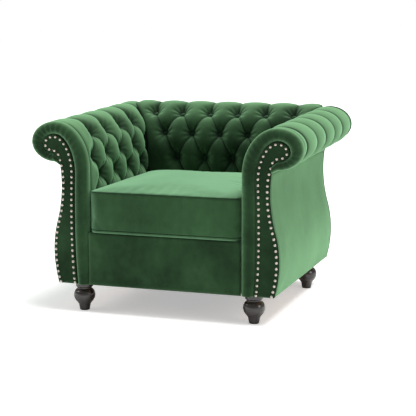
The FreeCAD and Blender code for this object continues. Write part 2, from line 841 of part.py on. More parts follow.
def make_end_covers():
    """The covered rear ends of the arm rolls, and the covered ends of the back's roll behind them."""
    y = outside_back_y
    cap = prism(envelope_wire(arm_section(y), arm_place(y), 0.0, pad_foot_z), Vector(0, panel_thickness, 0))
    cap = cap.cut(block(0, half_width, front_y, back_y, 0, arm_neck[1]))
    cap = cap.cut(block(0, back_half_width + soft_gap, front_y, back_y, 0, overall_height + tool_reach))
    both_sides("arm_end_cover", max(cap.Solids, key=lambda solid: solid.Volume))

    x = back_half_width
    wire = envelope_wire(back_section, back_place(x), 0.0, pad_foot_z)
    cap = prism(wire, Vector(panel_thickness, 0, 0))
    cap = cap.common(block(x, half_width, arm_back_y + soft_gap, back_y, back_neck_z, overall_height))
    pair("back_end_covers", max(cap.Solids, key=lambda solid: solid.Volume))


# Seat cushion and suspension

def cushion_wire(y, inset, draw, crown_z, edge_z):
    """One upright section of the cushion: bowed sides, rounded edges and a crowned top."""
    half = cushion_half_width - inset - draw
    bulge = cushion_half_width - inset
    bottom = cushion_bottom_z + inset
    top = edge_z - inset
    corner = cushion_corner
    tilt = corner * (1 - sqrt(0.5))
    place = arm_place(y)
    shoulder = top - corner
    right = [arc(place, (half, bottom), (bulge, (bottom + shoulder) / 2), (half, shoulder)),
             arc(place, (half, shoulder), (half - tilt, top - tilt), (half - corner, top))]
    crown = arc(place, (half - corner, top), (0.0, crown_z - inset), (corner - half, top))
    left = [arc(place, (corner - half, top), (tilt - half, top - tilt), (-half, shoulder)),
            arc(place, (-half, shoulder), (-bulge, (bottom + shoulder) / 2), (-half, bottom))]
    return Part.Wire(right + [crown] + left + [line(place, (-half, bottom), (half, bottom))])


def cushion_body(inset):
    """The cushion's form, or the same form a little smaller all round."""
    length = cushion_back_y - cushion_front_y
    wires = []
    for share in cushion_stations:
        y = cushion_front_y + length * share
        y += inset * (1.0 - 2.0 * share) if share in (0.0, 1.0) else 0.0
        fullness = sin(pi * share) ** cushion_fullness
        edge = cushion_edge_z - cushion_end_drop * (1.0 - fullness)
        rise = seat_height - cushion_edge_z - cushion_least_crown
        crown = edge + cushion_least_crown + rise * fullness
        wires.append(cushion_wire(y, inset, cushion_draw + cushion_end_draw * (1.0 - fullness), crown, edge))
    return loft(wires)


def make_cushion():
    outer = cushion_body(0.0)
    hollow = cushion_body(cushion_cover_thickness)
    save("seat_cushion_cover", outer.cut(hollow))
    save("seat_cushion_foam", cushion_body(cushion_cover_thickness + soft_gap))


def spring_path(x, y0, y1, z):
    """A sinuous spring: straight runs across, joined by half turns, from rail to rail."""
    turns = int((y1 - y0) / (2 * spring_bend))
    bend = (y1 - y0) / (2 * turns)
    reach = spring_amplitude - bend
    edges = []
    y = y0
    side = -1
    edges.append(Part.LineSegment(Vector(x + reach, y, z), Vector(x - reach, y, z)).toShape())
    for number in range(turns):
        tip = Vector(x + side * (reach + bend), y + bend, z)
        start = Vector(x + side * reach, y, z)
        end = Vector(x + side * reach, y + 2 * bend, z)
        edges.append(Part.Arc(start, tip, end).toShape())
        y += 2 * bend
        side = -side
        edges.append(Part.LineSegment(end, Vector(x + side * reach, y, z)).toShape())
    return Part.Wire(edges)


def make_suspension():
    z = seat_rail_top_z + spring_height
    clip_top = seat_rail_top_z + clip_height
    y0 = border_back_y + rail / 2
    y1 = rear_rail_y + rail / 2
    springs = []
    clips = []
    for number in range(spring_count):
        x = (number - (spring_count - 1) / 2) * spring_spacing
        path = spring_path(x, y0, y1, z)
        start = path.Vertexes[0].Point
        profile = Part.Wire(Part.makeCircle(spring_wire, start, Vector(1, 0, 0)))
        springs.append(path.makePipeShell([profile], True, False))
        for y in (y0, y1):
            clip = block(x - clip_length / 2, x + clip_length / 2, y - clip_width / 2, y + clip_width / 2,
                         seat_rail_top_z, clip_top)
            bore = Part.makeCylinder(spring_wire + clip_bore_gap, 2 * clip_length,
                                     Vector(x - clip_length, y, z), Vector(1, 0, 0))
            clips.append(clip.cut(bore))
    save("seat_springs", *springs)
    save("spring_clips", *clips)
    cloth_bottom = cushion_bottom_z - soft_gap - deck_cloth_thickness
    side = arm_inner - 2 * soft_gap
    front = apron_back_y + soft_gap
    rear = back_inner - 2 * soft_gap
    save("deck_pad", block(-side, side, front, rear, clip_top + deck_pad_gap, cloth_bottom - soft_gap))
    save("deck_cloth", block(-side, side, front, rear, cloth_bottom, cushion_bottom_z - soft_gap))
    side = base_inner - soft_gap
    save("dust_cover", block(-side, side, border_back_y + rail, rear_board_back_y,
                             frame_foot_z - dust_cover_thickness, frame_foot_z))


# Legs

def leg_solid(x, y):
    """A turned bun leg: collar, neck, ball, ankle and a tapered foot."""
    place = back_place(0.0)
    corners = [(0.0, 0.0), (leg_foot_radius, 0.0), (leg_ankle_radius, leg_ankle_z),
               (leg_ring_radius, leg_ring_z), (leg_neck_radius, leg_neck_z),
               (leg_neck_radius, leg_neck_top_z), (leg_collar_radius, leg_collar_z),
               (leg_collar_radius, leg_height), (0.0, leg_height), (0.0, 0.0)]
    edges = [line(place, start, end) for start, end in zip(corners, corners[1:])]
    edges[3] = arc(place, corners[3], (leg_ball_radius, leg_ball_z), corners[4])
    leg = placed(turned(edges), Vector(x, y, 0), Vector(0, 0, 1))
    return leg.cut(bolt_hole(x, y, leg_height - hanger_bolt_depth - bolt_gap, overall_height,
                             hanger_bolt_radius + bolt_gap))


def make_legs():
    bolts = []
    nuts = []
    flange_z = base_top_z - tee_nut_flange_thickness
    for name, (x, y) in (("front_leg", front_leg), ("rear_leg", rear_leg)):
        both_sides(name, leg_solid(x, y))
        bolt = bolt_hole(x, y, leg_height - hanger_bolt_depth, base_top_z, hanger_bolt_radius)
        barrel = bolt_hole(x, y, base_top_z - tee_nut_barrel_length, base_top_z, tee_nut_barrel_radius)
        flange = bolt_hole(x, y, flange_z, base_top_z, tee_nut_flange_radius)
        bore = bolt_hole(x, y, 0.0, overall_height, hanger_bolt_radius + bolt_gap / 2)
        nut = barrel.fuse(flange).cut(bore)
        bolts += [bolt, mirrored(bolt)]
        nuts += [nut, mirrored(nut)]
    save("leg_bolts", *bolts)
    save("leg_tee_nuts", *nuts)


def build():
    right_pad, right_buttons = make_arm_pad(True)
    left_pad, left_buttons = make_arm_pad(False)
    save("arm_pad_right", right_pad)
    save("arm_pad_left", mirrored(left_pad))
    save("arm_buttons_right", *right_buttons)
    save("arm_buttons_left", *[mirrored(one) for one in left_buttons])
    back_pad, back_buttons = make_back_pad()
    save("back_pad", back_pad)
    save("back_buttons", *back_buttons)
    make_arm_front()
    make_timber()
    make_back_frame()
    make_panels()
    make_end_covers()
    make_cushion()
    make_suspension()
    make_legs()
    os.makedirs("parts", exist_ok=True)
    for name, shape in nodes.items():
        if not shape.isValid():
            print("not valid:", name)
        shape.exportStep("parts/" + name + ".step")
    whole = Part.makeCompound(list(nodes.values())).BoundBox
    sizes = [round(size) for size in (whole.XLength, whole.YLength, whole.ZLength)]
    print(len(nodes), "nodes, about", sizes, "mm")


build()
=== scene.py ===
# %% [markdown]
# # A tufted club chair with rolled arms
# The chair's construction is already settled, piece by piece, in its own frame: metres, X to the right, the
# front towards -Y, Z up, and the floor at zero. This lesson dresses that frame. Each step says what a piece
# is on the real chair, and why its mesh or its finish is made the way it is.

# %% Load the frame
from math import cos, pi, radians, sin

import bmesh
import bpy
import numpy as np
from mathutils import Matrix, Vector, geometry


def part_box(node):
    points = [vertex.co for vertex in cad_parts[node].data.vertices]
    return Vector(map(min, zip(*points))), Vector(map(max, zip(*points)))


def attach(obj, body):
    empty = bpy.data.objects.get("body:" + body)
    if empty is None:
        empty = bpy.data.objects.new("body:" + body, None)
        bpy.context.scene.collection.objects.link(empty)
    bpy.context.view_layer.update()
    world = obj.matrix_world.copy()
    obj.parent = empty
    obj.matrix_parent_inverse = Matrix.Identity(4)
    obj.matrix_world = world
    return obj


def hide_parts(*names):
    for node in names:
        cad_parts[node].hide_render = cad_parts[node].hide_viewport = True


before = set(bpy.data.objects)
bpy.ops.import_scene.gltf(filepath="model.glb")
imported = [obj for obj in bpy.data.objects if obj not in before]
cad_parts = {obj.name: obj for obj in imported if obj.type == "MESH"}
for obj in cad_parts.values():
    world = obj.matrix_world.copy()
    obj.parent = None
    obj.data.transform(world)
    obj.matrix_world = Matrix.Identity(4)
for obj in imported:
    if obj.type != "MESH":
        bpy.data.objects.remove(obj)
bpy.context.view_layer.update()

# %% [markdown]
# ## Helpers for nodes
# A finish is a small tree of shader nodes. A few helpers keep the trees short: one adds a node and fills or
# links its inputs, one opens a node group with named sockets, so that an effect that several finishes share
# is built once, one places such a group in a material, and one makes the material itself.

# %% Add a node, open a group
def node(tree, kind, inputs=(), **properties):
    """Add a node. An input takes a value, or a socket that it is linked from."""
    made = tree.nodes.new(kind)
    for name, value in properties.items():
        setattr(made, name, value)
    for key, value in dict(inputs).items():
        if isinstance(value, bpy.types.NodeSocket):
            tree.links.new(value, made.inputs[key])
        else:
            made.inputs[key].default_value = value
    return made


def open_group(name, inputs, outputs):
    """A new shader group: its tree, the node that its inputs come from, and the names of its outputs."""
    tree = bpy.data.node_groups.new(name, "ShaderNodeTree")
    for socket, value in inputs.items():
        tree.interface.new_socket(socket, in_out="INPUT", socket_type="NodeSocketFloat").default_value = value
    for socket in outputs:
        tree.interface.new_socket(socket, in_out="OUTPUT", socket_type="NodeSocketFloat")
    return tree, tree.nodes.new("NodeGroupInput").outputs, tree.nodes.new("NodeGroupOutput").inputs


def use_group(tree, group, **values):
    """Place a group in a material with its own values."""
    made = tree.nodes.new("ShaderNodeGroup")
    made.node_tree = group
    for name, value in values.items():
        made.inputs[name.replace("_", " ")].default_value = value
    return made.outputs


def new_material(name):
    """A material with its Principled shader, ready for its inputs."""
    material = bpy.data.materials.new(name)
    material.use_nodes = True
    return material, material.node_tree, material.node_tree.nodes["Principled BSDF"].inputs


print("node helpers:", ", ".join(helper.__name__ for helper in (node, open_group, use_group, new_material)))

# %% [markdown]
# ## Velvet
# Velvet is a cloth with a short pile. Seen square on it is dark, because the light sinks between the fibres;
# seen at a slant their tips catch it, so every round edge has a pale rim. The Principled shader's sheen does
# part of that, and the rest is a pale sheen painted into the colour where the surface is seen at a slant. The
# pile also lies one way here and another way there, which shows as soft light and dark patches, and a node
# group called Pile gives those patches and the fine grain for the bump.

# %% The pile of velvet
pile, pile_in, pile_out = open_group("Pile", {"Patch Scale": 5.0, "Brush Scale": 38.0, "Grain Scale": 700.0,
                                              "Grain": 0.25}, ["Shade", "Height"])
where = node(pile, "ShaderNodeTexCoord").outputs["Object"]
patches = node(pile, "ShaderNodeTexNoise", {"Vector": where, "Scale": pile_in["Patch Scale"], "Detail": 3.0})
stretched = node(pile, "ShaderNodeVectorMath", {0: where, 1: (1.0, 1.0, 0.8)}, operation="MULTIPLY")
brushed = node(pile, "ShaderNodeTexNoise", {"Vector": stretched.outputs[0], "Scale": pile_in["Brush Scale"],
                                            "Detail": 4.0, "Roughness": 0.6})
mixed = node(pile, "ShaderNodeMath", {0: patches.outputs["Fac"], 1: 0.75}, operation="MULTIPLY")
shade = node(pile, "ShaderNodeMath", {0: brushed.outputs["Fac"], 1: 0.25, 2: mixed.outputs[0]},
             operation="MULTIPLY_ADD")
spread = node(pile, "ShaderNodeMapRange", {"Value": shade.outputs[0], "From Min": 0.33, "From Max": 0.67})
pile.links.new(spread.outputs[0], pile_out["Shade"])
grain = node(pile, "ShaderNodeTexNoise", {"Vector": where, "Scale": pile_in["Grain Scale"], "Detail": 2.0})
fine = node(pile, "ShaderNodeMath", {0: grain.outputs["Fac"], 1: pile_in["Grain"], 2: brushed.outputs["Fac"]},
            operation="MULTIPLY_ADD")
pile.links.new(fine.outputs[0], pile_out["Height"])
print("group", pile.name, "gives", [socket.name for socket in pile_out if socket.name])

# %% [markdown]
# ## Three velvets
# The whole chair wears one cloth. The seat cushion's copy of it is painted lighter, as light from above makes
# it look, and the buttons' copy is painted darker, as the shade deep in their dimples makes it look. So one
# function makes the finish and each velvet brings its own shades. The pieces carry a number at every point
# that says how deep in a fold or hollow it lies, and shade is painted there, nearly black.

# %% Velvet finishes
painted_sheen_green = (0.20, 0.40, 0.20)
painted_sheen_seat = (0.25, 0.50, 0.28)
painted_shade_colour = (0.0015, 0.007, 0.0035)


def velvet(name, deep, light, painted_sheen, patch_scale=5.0):
    """Green velvet between two shades, with a pale sheen painted in where it is seen at a slant and shade
    painted nearly black in its folds.
    """
    material, tree, shader = new_material(name)
    nap = use_group(tree, pile, Patch_Scale=patch_scale)
    colour = node(tree, "ShaderNodeMix", {"Factor": nap["Shade"], "A": (*deep, 1.0), "B": (*light, 1.0)},
                  data_type="RGBA")
    # Painted sheen: a pale colour is mixed in where the surface is seen at a slant, a little more where the
    # pile patches are lighter.
    slant = node(tree, "ShaderNodeLayerWeight", {"Blend": 0.5})
    lifted = node(tree, "ShaderNodeMath", {0: nap["Shade"], 1: 0.12, 2: slant.outputs["Facing"]},
                  operation="MULTIPLY_ADD")
    painted_sheen_amount = node(tree, "ShaderNodeMapRange", {"Value": lifted.outputs[0], "From Min": 0.12,
                                                 "From Max": 0.98})
    curve = node(tree, "ShaderNodeMath", {0: painted_sheen_amount.outputs[0], 1: 1.5}, operation="POWER")
    with_painted_sheen = node(tree, "ShaderNodeMix", {"Factor": curve.outputs[0], "A": colour.outputs["Result"],
                                           "B": (*painted_sheen, 1.0)}, data_type="RGBA")
    # Painted shade: the colour goes nearly black where the mesh's number marks a fold, hollow, rim or seam.
    painted_shade_factor = node(tree, "ShaderNodeAttribute", attribute_name="painted_shade_amount").outputs["Fac"]
    shaded = node(tree, "ShaderNodeMix", {"Factor": painted_shade_factor, "A": with_painted_sheen.outputs["Result"],
                                          "B": (*painted_shade_colour, 1.0)}, data_type="RGBA")
    tree.links.new(shaded.outputs["Result"], shader["Base Color"])
    bump = node(tree, "ShaderNodeBump", {"Height": nap["Height"], "Strength": 0.45, "Distance": 0.0010})
    tree.links.new(bump.outputs[0], shader["Normal"])
    shader["Roughness"].default_value = 0.9
    shader["Specular IOR Level"].default_value = 0.15
    shader["Sheen Weight"].default_value = 0.35
    shader["Sheen Roughness"].default_value = 0.32
    shader["Sheen Tint"].default_value = (0.42, 0.95, 0.52, 1.0)
    return material


velvet_green = velvet("velvet_green", (0.012, 0.032, 0.013), (0.030, 0.082, 0.031), painted_sheen_green)
# The seat's copy of the velvet is painted lighter, as light from above makes it look; the buttons' copy is
# painted darker, as shade in their dimples.
velvet_seat_painted_lighter = velvet("velvet_seat_painted_lighter", (0.022, 0.060, 0.024), (0.040, 0.108, 0.042), painted_sheen_seat, patch_scale=3.0)
velvet_button_painted_darker = velvet("velvet_button_painted_darker", (0.008, 0.030, 0.014), (0.016, 0.060, 0.026), painted_sheen_green, 20.0)
print("velvets:", velvet_green.name, velvet_seat_painted_lighter.name, velvet_button_painted_darker.name)

# %% [markdown]
# ## Helpers for meshes
# Most pieces here are grids of points, worked out with arrays and then joined by quads. A closed mesh keeps
# the model sound, so each helper closes its piece and lets bmesh turn all faces outwards.

# %% Make a piece from points and faces
def make_piece(name, points, faces, material, replaced=(), body="chair", painted_shade_amount=None):
    """A smooth-shaded piece that rides on a body and stands for some construction nodes."""
    mesh = bpy.data.meshes.new(name)
    mesh.from_pydata([tuple(point) for point in points], [], [tuple(face) for face in faces])
    shape = bmesh.new()
    shape.from_mesh(mesh)
    bmesh.ops.recalc_face_normals(shape, faces=shape.faces)
    shape.to_mesh(mesh)
    shape.free()
    mesh.shade_smooth()
    mesh.materials.append(material)
    if painted_shade_amount is not None:
        shadow = np.zeros(len(mesh.vertices), np.float32)
        shadow[:len(painted_shade_amount)] = painted_shade_amount
        mesh.attributes.new("painted_shade_amount", "FLOAT", "POINT").data.foreach_set("value", shadow)
    piece = bpy.data.objects.new(name, mesh)
    bpy.context.scene.collection.objects.link(piece)
    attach(piece, body)
    if replaced:
        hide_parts(*replaced)
    print(name, len(mesh.vertices), "points")
    return piece


def strip_faces(rows, columns, wrap_rows=False, wrap_columns=False):
    """The quads of a grid whose points are numbered row by row."""
    number = np.arange(rows * columns).reshape(rows, columns)
    if wrap_rows:
        number = np.vstack([number, number[:1]])
    if wrap_columns:
        number = np.hstack([number, number[:, :1]])
    quads = np.stack([number[:-1, :-1], number[1:, :-1], number[1:, 1:], number[:-1, 1:]], axis=-1)
    return [tuple(quad) for quad in quads.reshape(-1, 4).tolist()]


both_sides = ((1, "right"), (-1, "left"))


def smooth_step(value):
    """From 0 to 1 with soft ends."""
    value = np.clip(value, 0.0, 1.0)
    return value * value * (3.0 - 2.0 * value)


print("a grid of 3 by 3 points has", len(strip_faces(3, 3)), "quads")

# %% [markdown]
# ## The rolled outline
# The arms and the back share one kind of outline: a flat face, an elliptical shoulder that leans back to
# the crest, and a roll that curls outwards and under to the neck. It is written once as a line of points
# and then placed with each piece's own sizes, which come from the construction where they can be read off
# its boxes.

# %% Outline helpers
def ellipse(centre, across, up, start, end, count=24):
    """Points along a stretch of an ellipse, in degrees."""
    angle = np.radians(np.linspace(start, end, count))
    return np.stack([centre[0] + across * np.cos(angle), centre[1] + up * np.sin(angle)], axis=1)


def travelled(line):
    """How far each point of a line is from its start, measured along it."""
    return np.concatenate([[0.0], np.cumsum(np.linalg.norm(np.diff(line, axis=0), axis=1))])


def points_at(line, lengths, along=None):
    """The points of a line at given lengths from its start."""
    along = travelled(line) if along is None else along
    return np.stack([np.interp(lengths, along, line[:, k]) for k in range(line.shape[1])], axis=1)


def rolled_line(inner, crest, outer, foot_z, shoulder_z, crest_z, roll_z, bottom_z, end_angle, neck):
    """From the foot of the face over the shoulder and round the roll to the neck."""
    shoulder = ellipse((crest, shoulder_z), crest - inner, crest_z - shoulder_z, 180, 90)
    roll = ellipse((crest, roll_z), outer - crest, crest_z - roll_z, 90, 0)[1:]
    under = ellipse((crest, roll_z), outer - crest, roll_z - bottom_z, 0, end_angle)[1:]
    return np.concatenate([[(inner, foot_z)], shoulder, roll, under, [neck]])


print("a quarter of a circle of 1 m measures", round(travelled(ellipse((0, 0), 1, 1, 0, 90))[-1], 3), "m")

# %% [markdown]
# ## Sizes of the arms and the back
# The boxes of the construction give the outer sizes. What a box can't tell, such as how high the shoulder
# and the middle of the roll lie, is named here in metres. The roll of an arm climbs a little towards the
# rear, so an arm's outline is asked for at a place along it.

# %% Sizes of the arms and the back
arm_low, arm_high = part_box("arm_pad_right")
border_low, border_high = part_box("arm_border_right")
back_low, back_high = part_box("back_pad")
panel_low, panel_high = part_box("arm_panel_right")
end_low, end_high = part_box("arm_end_cover_right")

front_y = border_low.y
arm_rear_y = end_high.y
arm_inner = arm_low.x
arm_outer = arm_high.x
arm_crest = 0.411
shoulder_z = 0.520
arm_roll_z = 0.612
arm_roll_bottom_z = 0.540
arm_under_angle = -90
arm_neck = (0.3915, 0.529)
arm_crest_front_z = border_high.z
arm_rise = end_high.z - arm_crest_front_z
pad_foot_z = 0.292

back_inner = back_low.y
back_crest = 0.338
back_roll_z = 0.640
back_roll_bottom_z = 0.565
back_under_angle = -75
hair_gap = 0.0003
back_neck = (arm_rear_y + hair_gap, 0.552)
back_half_width = back_high.x


def arm_line(y):
    """The arm's outline at one place along it: the roll rises a little to the rear."""
    rise = arm_rise * (y - front_y) / (arm_rear_y - front_y)
    return rolled_line(arm_inner, arm_crest, arm_outer, pad_foot_z, shoulder_z, arm_crest_front_z + rise,
                       arm_roll_z + rise, arm_roll_bottom_z + rise, arm_under_angle, arm_neck)


back_line = rolled_line(back_inner, back_crest, back_high.y, pad_foot_z, shoulder_z, back_high.z, back_roll_z,
                        back_roll_bottom_z, back_under_angle, back_neck)
print("arm outline", round(travelled(arm_line(front_y))[-1], 3), "m; back outline",
      round(travelled(back_line)[-1], 3), "m")

# %% [markdown]
# ## Deep buttoning
# An upholsterer pulls the cover down to the frame at each button and folds it into pleats from button to
# button, and the stuffing swells between them. On the flattened cover the pleats are two families of
# straight lines, so two numbers say where a point lies between them, and the product of two sines is nought
# on every pleat and full in the middle of every diamond. Above the top row the two families become one,
# which gives the straight pleats over the roll. Each button adds a deep dimple with small puckers round it.

# %% The swelling between buttons
# The pleats between the buttons, how much the puffs between them hang and differ, and how dark and narrow the
# shade painted along the pleats is
pleat_depth = 0.014
pleat_sharpness = 0.55
fold_shade = 0.9
fold_narrowness = 2.8
sag = 0.24
unevenness = 0.12
scatter = (12.9898, 78.233)

# The straight pleats over the roll
roll_pleat_depth = 0.0095
roll_sharpness = 0.55
roll_fade = 0.070

# The dimple at a button, the flat seat at its bottom, and how wide the shade painted in its hollow is
dimple_depth = 0.0165
dimple_radius = 0.029
seat_depth = 0.003
seat_radius = 0.013
well_shadow = 0.021

# The tuck that runs up from each button of the top row, and how dark the shade painted in it is
tuck_depth = 0.007
tuck_width = 0.013
tuck_length = 0.036
tuck_middle = 0.024
tuck_shade = 0.8

# The small puckers round a button
puckers = 9
pucker_depth = 0.0013
pucker_radius = 0.026
pucker_width = 0.014
pucker_turn = 5.0

row_count = 3
most_buttons = 20
same_place = 1e-4


class Tufting:
    """The buttons of one padded face. Across runs along a row, up is measured along the outline."""

    def __init__(self, pitch, origin, row_up, first, last, seed):
        self.pitch = pitch
        self.origin = origin
        self.row_up = row_up
        self.first = first
        self.last = last
        self.seed = seed

    def rows(self, up):
        """The row number at a height: 0 is the top row, and it counts on below the lowest."""
        top, middle, low = self.row_up
        return np.interp(up, [low - (middle - low), low, middle, top], [3.0, 2.0, 1.0, 0.0])

    def buttons(self, row):
        """Where a row's buttons are, across."""
        shift = 0.5 * (row % 2)
        steps = np.arange(-most_buttons, most_buttons) + shift
        places = self.origin + steps * self.pitch
        return places[(places > self.first[row] - same_place) & (places < self.last[row] + same_place)]

    def puffs(self, across, up):
        """How full the cover is, from 0 on a pleat to 1 on a puff, and how deep the pleats are there."""
        row = self.rows(up)
        lean = (across - self.origin) / self.pitch
        one, other = lean + row / 2, lean - row / 2
        full = (np.abs(np.sin(pi * one)) * np.abs(np.sin(pi * other))) ** pleat_sharpness
        lower = (one - np.floor(one)) - (other - np.floor(other))
        full = full * (1.0 + sag * lower * (1.0 - lower ** 2))
        over_roll = smooth_step((up - self.row_up[0]) / roll_fade)
        straight = np.abs(np.sin(pi * lean)) ** roll_sharpness
        full = full * (1.0 - over_roll) + straight * over_roll
        start = np.interp(row, [0, 1, 2, 3], self.first)
        end = np.interp(row, [0, 1, 2, 3], self.last)
        outside = np.maximum(start - across, across - end)
        plain = np.sin(pi * np.clip(outside / self.pitch, 0.0, 0.5)) ** (2 * pleat_sharpness)
        full = np.where(outside > 0.0, plain, full)
        differs = np.sin(self.seed + scatter[0] * np.floor(one) + scatter[1] * np.floor(other))
        depth = pleat_depth * (1.0 - over_roll) + roll_pleat_depth * over_roll
        return full, depth * (1.0 + unevenness * differs)

    def well(self, side, rise, turn, in_top_row):
        """What one button does to the cover: how far it pulls it in, and how dark the shade painted in the
        hollow is.
        """
        far = np.sqrt(side ** 2 + rise ** 2)
        angle = np.arctan2(rise, side)
        ring = np.exp(-((far - pucker_radius) / pucker_width) ** 2)
        height = pucker_depth * ring * np.cos(puckers * angle + self.seed + pucker_turn * turn)
        height -= dimple_depth * np.exp(-(far / dimple_radius) ** 2)
        height -= seat_depth * np.exp(-(far / seat_radius) ** 4)
        # Painted shade in the hollow of the dimple, and in the tuck over a top-row button.
        dark = np.exp(-(far / well_shadow) ** 3)
        if in_top_row:
            tuck = np.exp(-(side / tuck_width) ** 2 - ((rise - tuck_middle) / tuck_length) ** 2)
            height -= tuck_depth * tuck
            dark = np.maximum(dark, tuck_shade * tuck ** 2)
        return height, dark

    def relief(self, across, up):
        """How far the cover stands in from its fullest line, below zero, and how dark the shade painted there
        for folds and wells is.
        """
        full, depth = self.puffs(across, up)
        height = -depth * (1.0 - full)
        painted_fold_shade = fold_shade * (1.0 - full) ** fold_narrowness
        for number in range(row_count):
            for place in self.buttons(number):
                pulled, dark = self.well(across - place, up - self.row_up[number], place, number == 0)
                height += pulled
                painted_fold_shade = np.maximum(painted_fold_shade, dark)
        return height, np.clip(painted_fold_shade, 0.0, 1.0)


well_depth = pleat_depth + dimple_depth + seat_depth
print("a button lies", round(well_depth * 1000, 1), "mm below the fullest line")

# %% [markdown]
# ## Padded faces of the arms and the back
# The base of each pad is a fine grid along the outline and along the chair. Its ends stop where two pads meet:
# an arm meets the back along a seam that climbs with both surfaces, so every line of the grid has its own end.
# Near such a seam the cover turns in, and shade is painted there as the dark line that a real seam has.

# %% Build a tufted pad
fine_step = 0.0032
seam_turn_in = 0.007
seam_reach = 0.008
seam_overlap = 0.024
seam_tuck = 0.016
neck_fade = 0.045
free_turn_in = 0.45
free_shade = 0.92
pad_thickness = 0.0352


def surface_normals(points):
    """Directions square to a grid, out of the padding."""
    normals = np.cross(np.gradient(points, axis=0), np.gradient(points, axis=1))
    return normals / np.maximum(np.linalg.norm(normals, axis=2, keepdims=True), 1e-12)


def tufted_grid(line_at, start, end_of, tufting):
    """The padded surface in its own frame (out, along, up), the same surface further in, and the shade painted
    in its folds and along its seams.
    """
    first_line, last_line = line_at(0.0), line_at(1.0)
    along = travelled(first_line)
    up = np.linspace(0.0, along[-1], int(along[-1] / fine_step))
    low = points_at(first_line, up, along)
    high = points_at(last_line, up, along)
    (starts, start_tuck), (ends, end_tuck) = start(low), end_of(high)
    whole = ends.max()
    columns = int((whole - starts.min()) / fine_step)
    share = np.linspace(0.0, 1.0, columns)[None, :]
    across = starts[:, None] + (ends - starts)[:, None] * share
    mix = ((across - starts.min()) / (whole - starts.min()))[..., None]
    flat = low[:, None, :] * (1.0 - mix) + high[:, None, :] * mix
    base = np.stack([flat[..., 0], across, flat[..., 1]], axis=-1)
    normals = surface_normals(base)
    height, painted_fold_shade = tufting.relief(across, up[:, None])
    held = smooth_step((up[-1] - up) / neck_fade)[:, None]
    height, painted_fold_shade = height * held, painted_fold_shade * held
    from_end = np.maximum(ends[:, None] - across - end_tuck[:, None], 0.0)
    from_start = np.maximum(across - starts[:, None] - start_tuck[:, None], 0.0)
    closeness = np.exp(-np.minimum(from_end, from_start) / seam_reach)
    free_end = 1.0 - np.maximum(start_tuck, end_tuck)[:, None] / seam_tuck
    height -= seam_turn_in * closeness * (1.0 - free_turn_in * free_end)
    # Painted shade along a seam, much weaker at a free end.
    closeness = closeness * (1.0 - free_shade * free_end)
    surface = base + normals * height[..., None]
    inner = base - normals * pad_thickness
    return surface, inner[:, [0, -1]], base, normals, up, np.maximum(painted_fold_shade, closeness)


def padded_shell(surface, inner):
    """Points and faces of a closed pad: the fine outside, a plain inside, and the edges between them."""
    rows, columns = surface.shape[:2]
    points = np.concatenate([surface.reshape(-1, 3), inner.reshape(-1, 3)])
    faces = strip_faces(rows, columns)
    deep = rows * columns
    for i in range(rows - 1):
        near, far = deep + 2 * i, deep + 2 * i + 2
        faces.append((near, near + 1, far + 1, far))
        faces.append((i * columns, (i + 1) * columns, far, near))
        faces.append(((i + 1) * columns - 1, (i + 2) * columns - 1, far + 1, near + 1))
    last = deep + 2 * (rows - 1)
    faces.append(tuple(range(columns)) + (deep + 1, deep))
    faces.append(tuple(range((rows - 1) * columns, rows * columns)) + (last + 1, last))
    return points, faces


def shoulder_length(inner, crest, shoulder, crest_z, angle):
    """The length along the outline from the foot to a place on the shoulder, given by its angle."""
    arc = ellipse((crest, shoulder), crest - inner, crest_z - shoulder, 180, 180 - angle, 60)
    return shoulder - pad_foot_z + travelled(arc)[-1]


print("the padding's grid has a point every", fine_step * 1000, "mm")

# %% [markdown]
# ## Where two pads meet
# In the corner an arm's padding and the back's padding press against each other. Crossing them would look
# wrong from above, so each line of either grid stops at the face of the other pad, a little past it.
# Further out, where the rolls no longer touch, a line runs on to its own free end.

# %% Seams between the pads
nearly_level = 0.995
free_blend = 0.030
arm_free_from = 0.350
back_free_from = 0.285


def face_at(z, crest, inner, top_z):
    """Where a padded face stands at a height: upright below the shoulder, leaning to the crest above it."""
    lift = np.clip((z - shoulder_z) / (top_z - shoulder_z), 0.0, nearly_level)
    return crest - (crest - inner) * np.sqrt(1.0 - lift ** 2)


def line_ends(line, face, free_from, free_end):
    """Where each line of a grid stops, and how deep it is tucked in there."""
    free = np.maximum.accumulate(smooth_step((line[:, 0] - free_from) / free_blend))
    return (face + seam_overlap) * (1.0 - free) + free_end * free, seam_tuck * (1.0 - free)


print("the back's face leans from", round(float(face_at(shoulder_z, back_crest, back_inner, back_high.z)), 3),
      "to", round(float(face_at(back_high.z, back_crest, back_inner, back_high.z)), 3), "m")

# %% [markdown]
# ## The two arms
# Three rows of buttons run along each arm, and every row is shifted by half a pitch. The two arms aren't
# mirror images: where the right arm's top row has a button, the left arm's has a puff. The padding is made
# once for each side with its own shift, and placed by a sign.

# %% The two arms
arm_pitch = 0.130
arm_first_button = -0.320
arm_row_angles = (47, 13)
arm_low_row_z = 0.488
arm_front_y = arm_low.y
no_end = 9.0


def arm_end(line):
    """An arm's lines stop at the back's face, or at the arm's rear end outside it."""
    return line_ends(line, face_at(line[:, 1], back_crest, back_inner, back_high.z), arm_free_from, end_low.y)


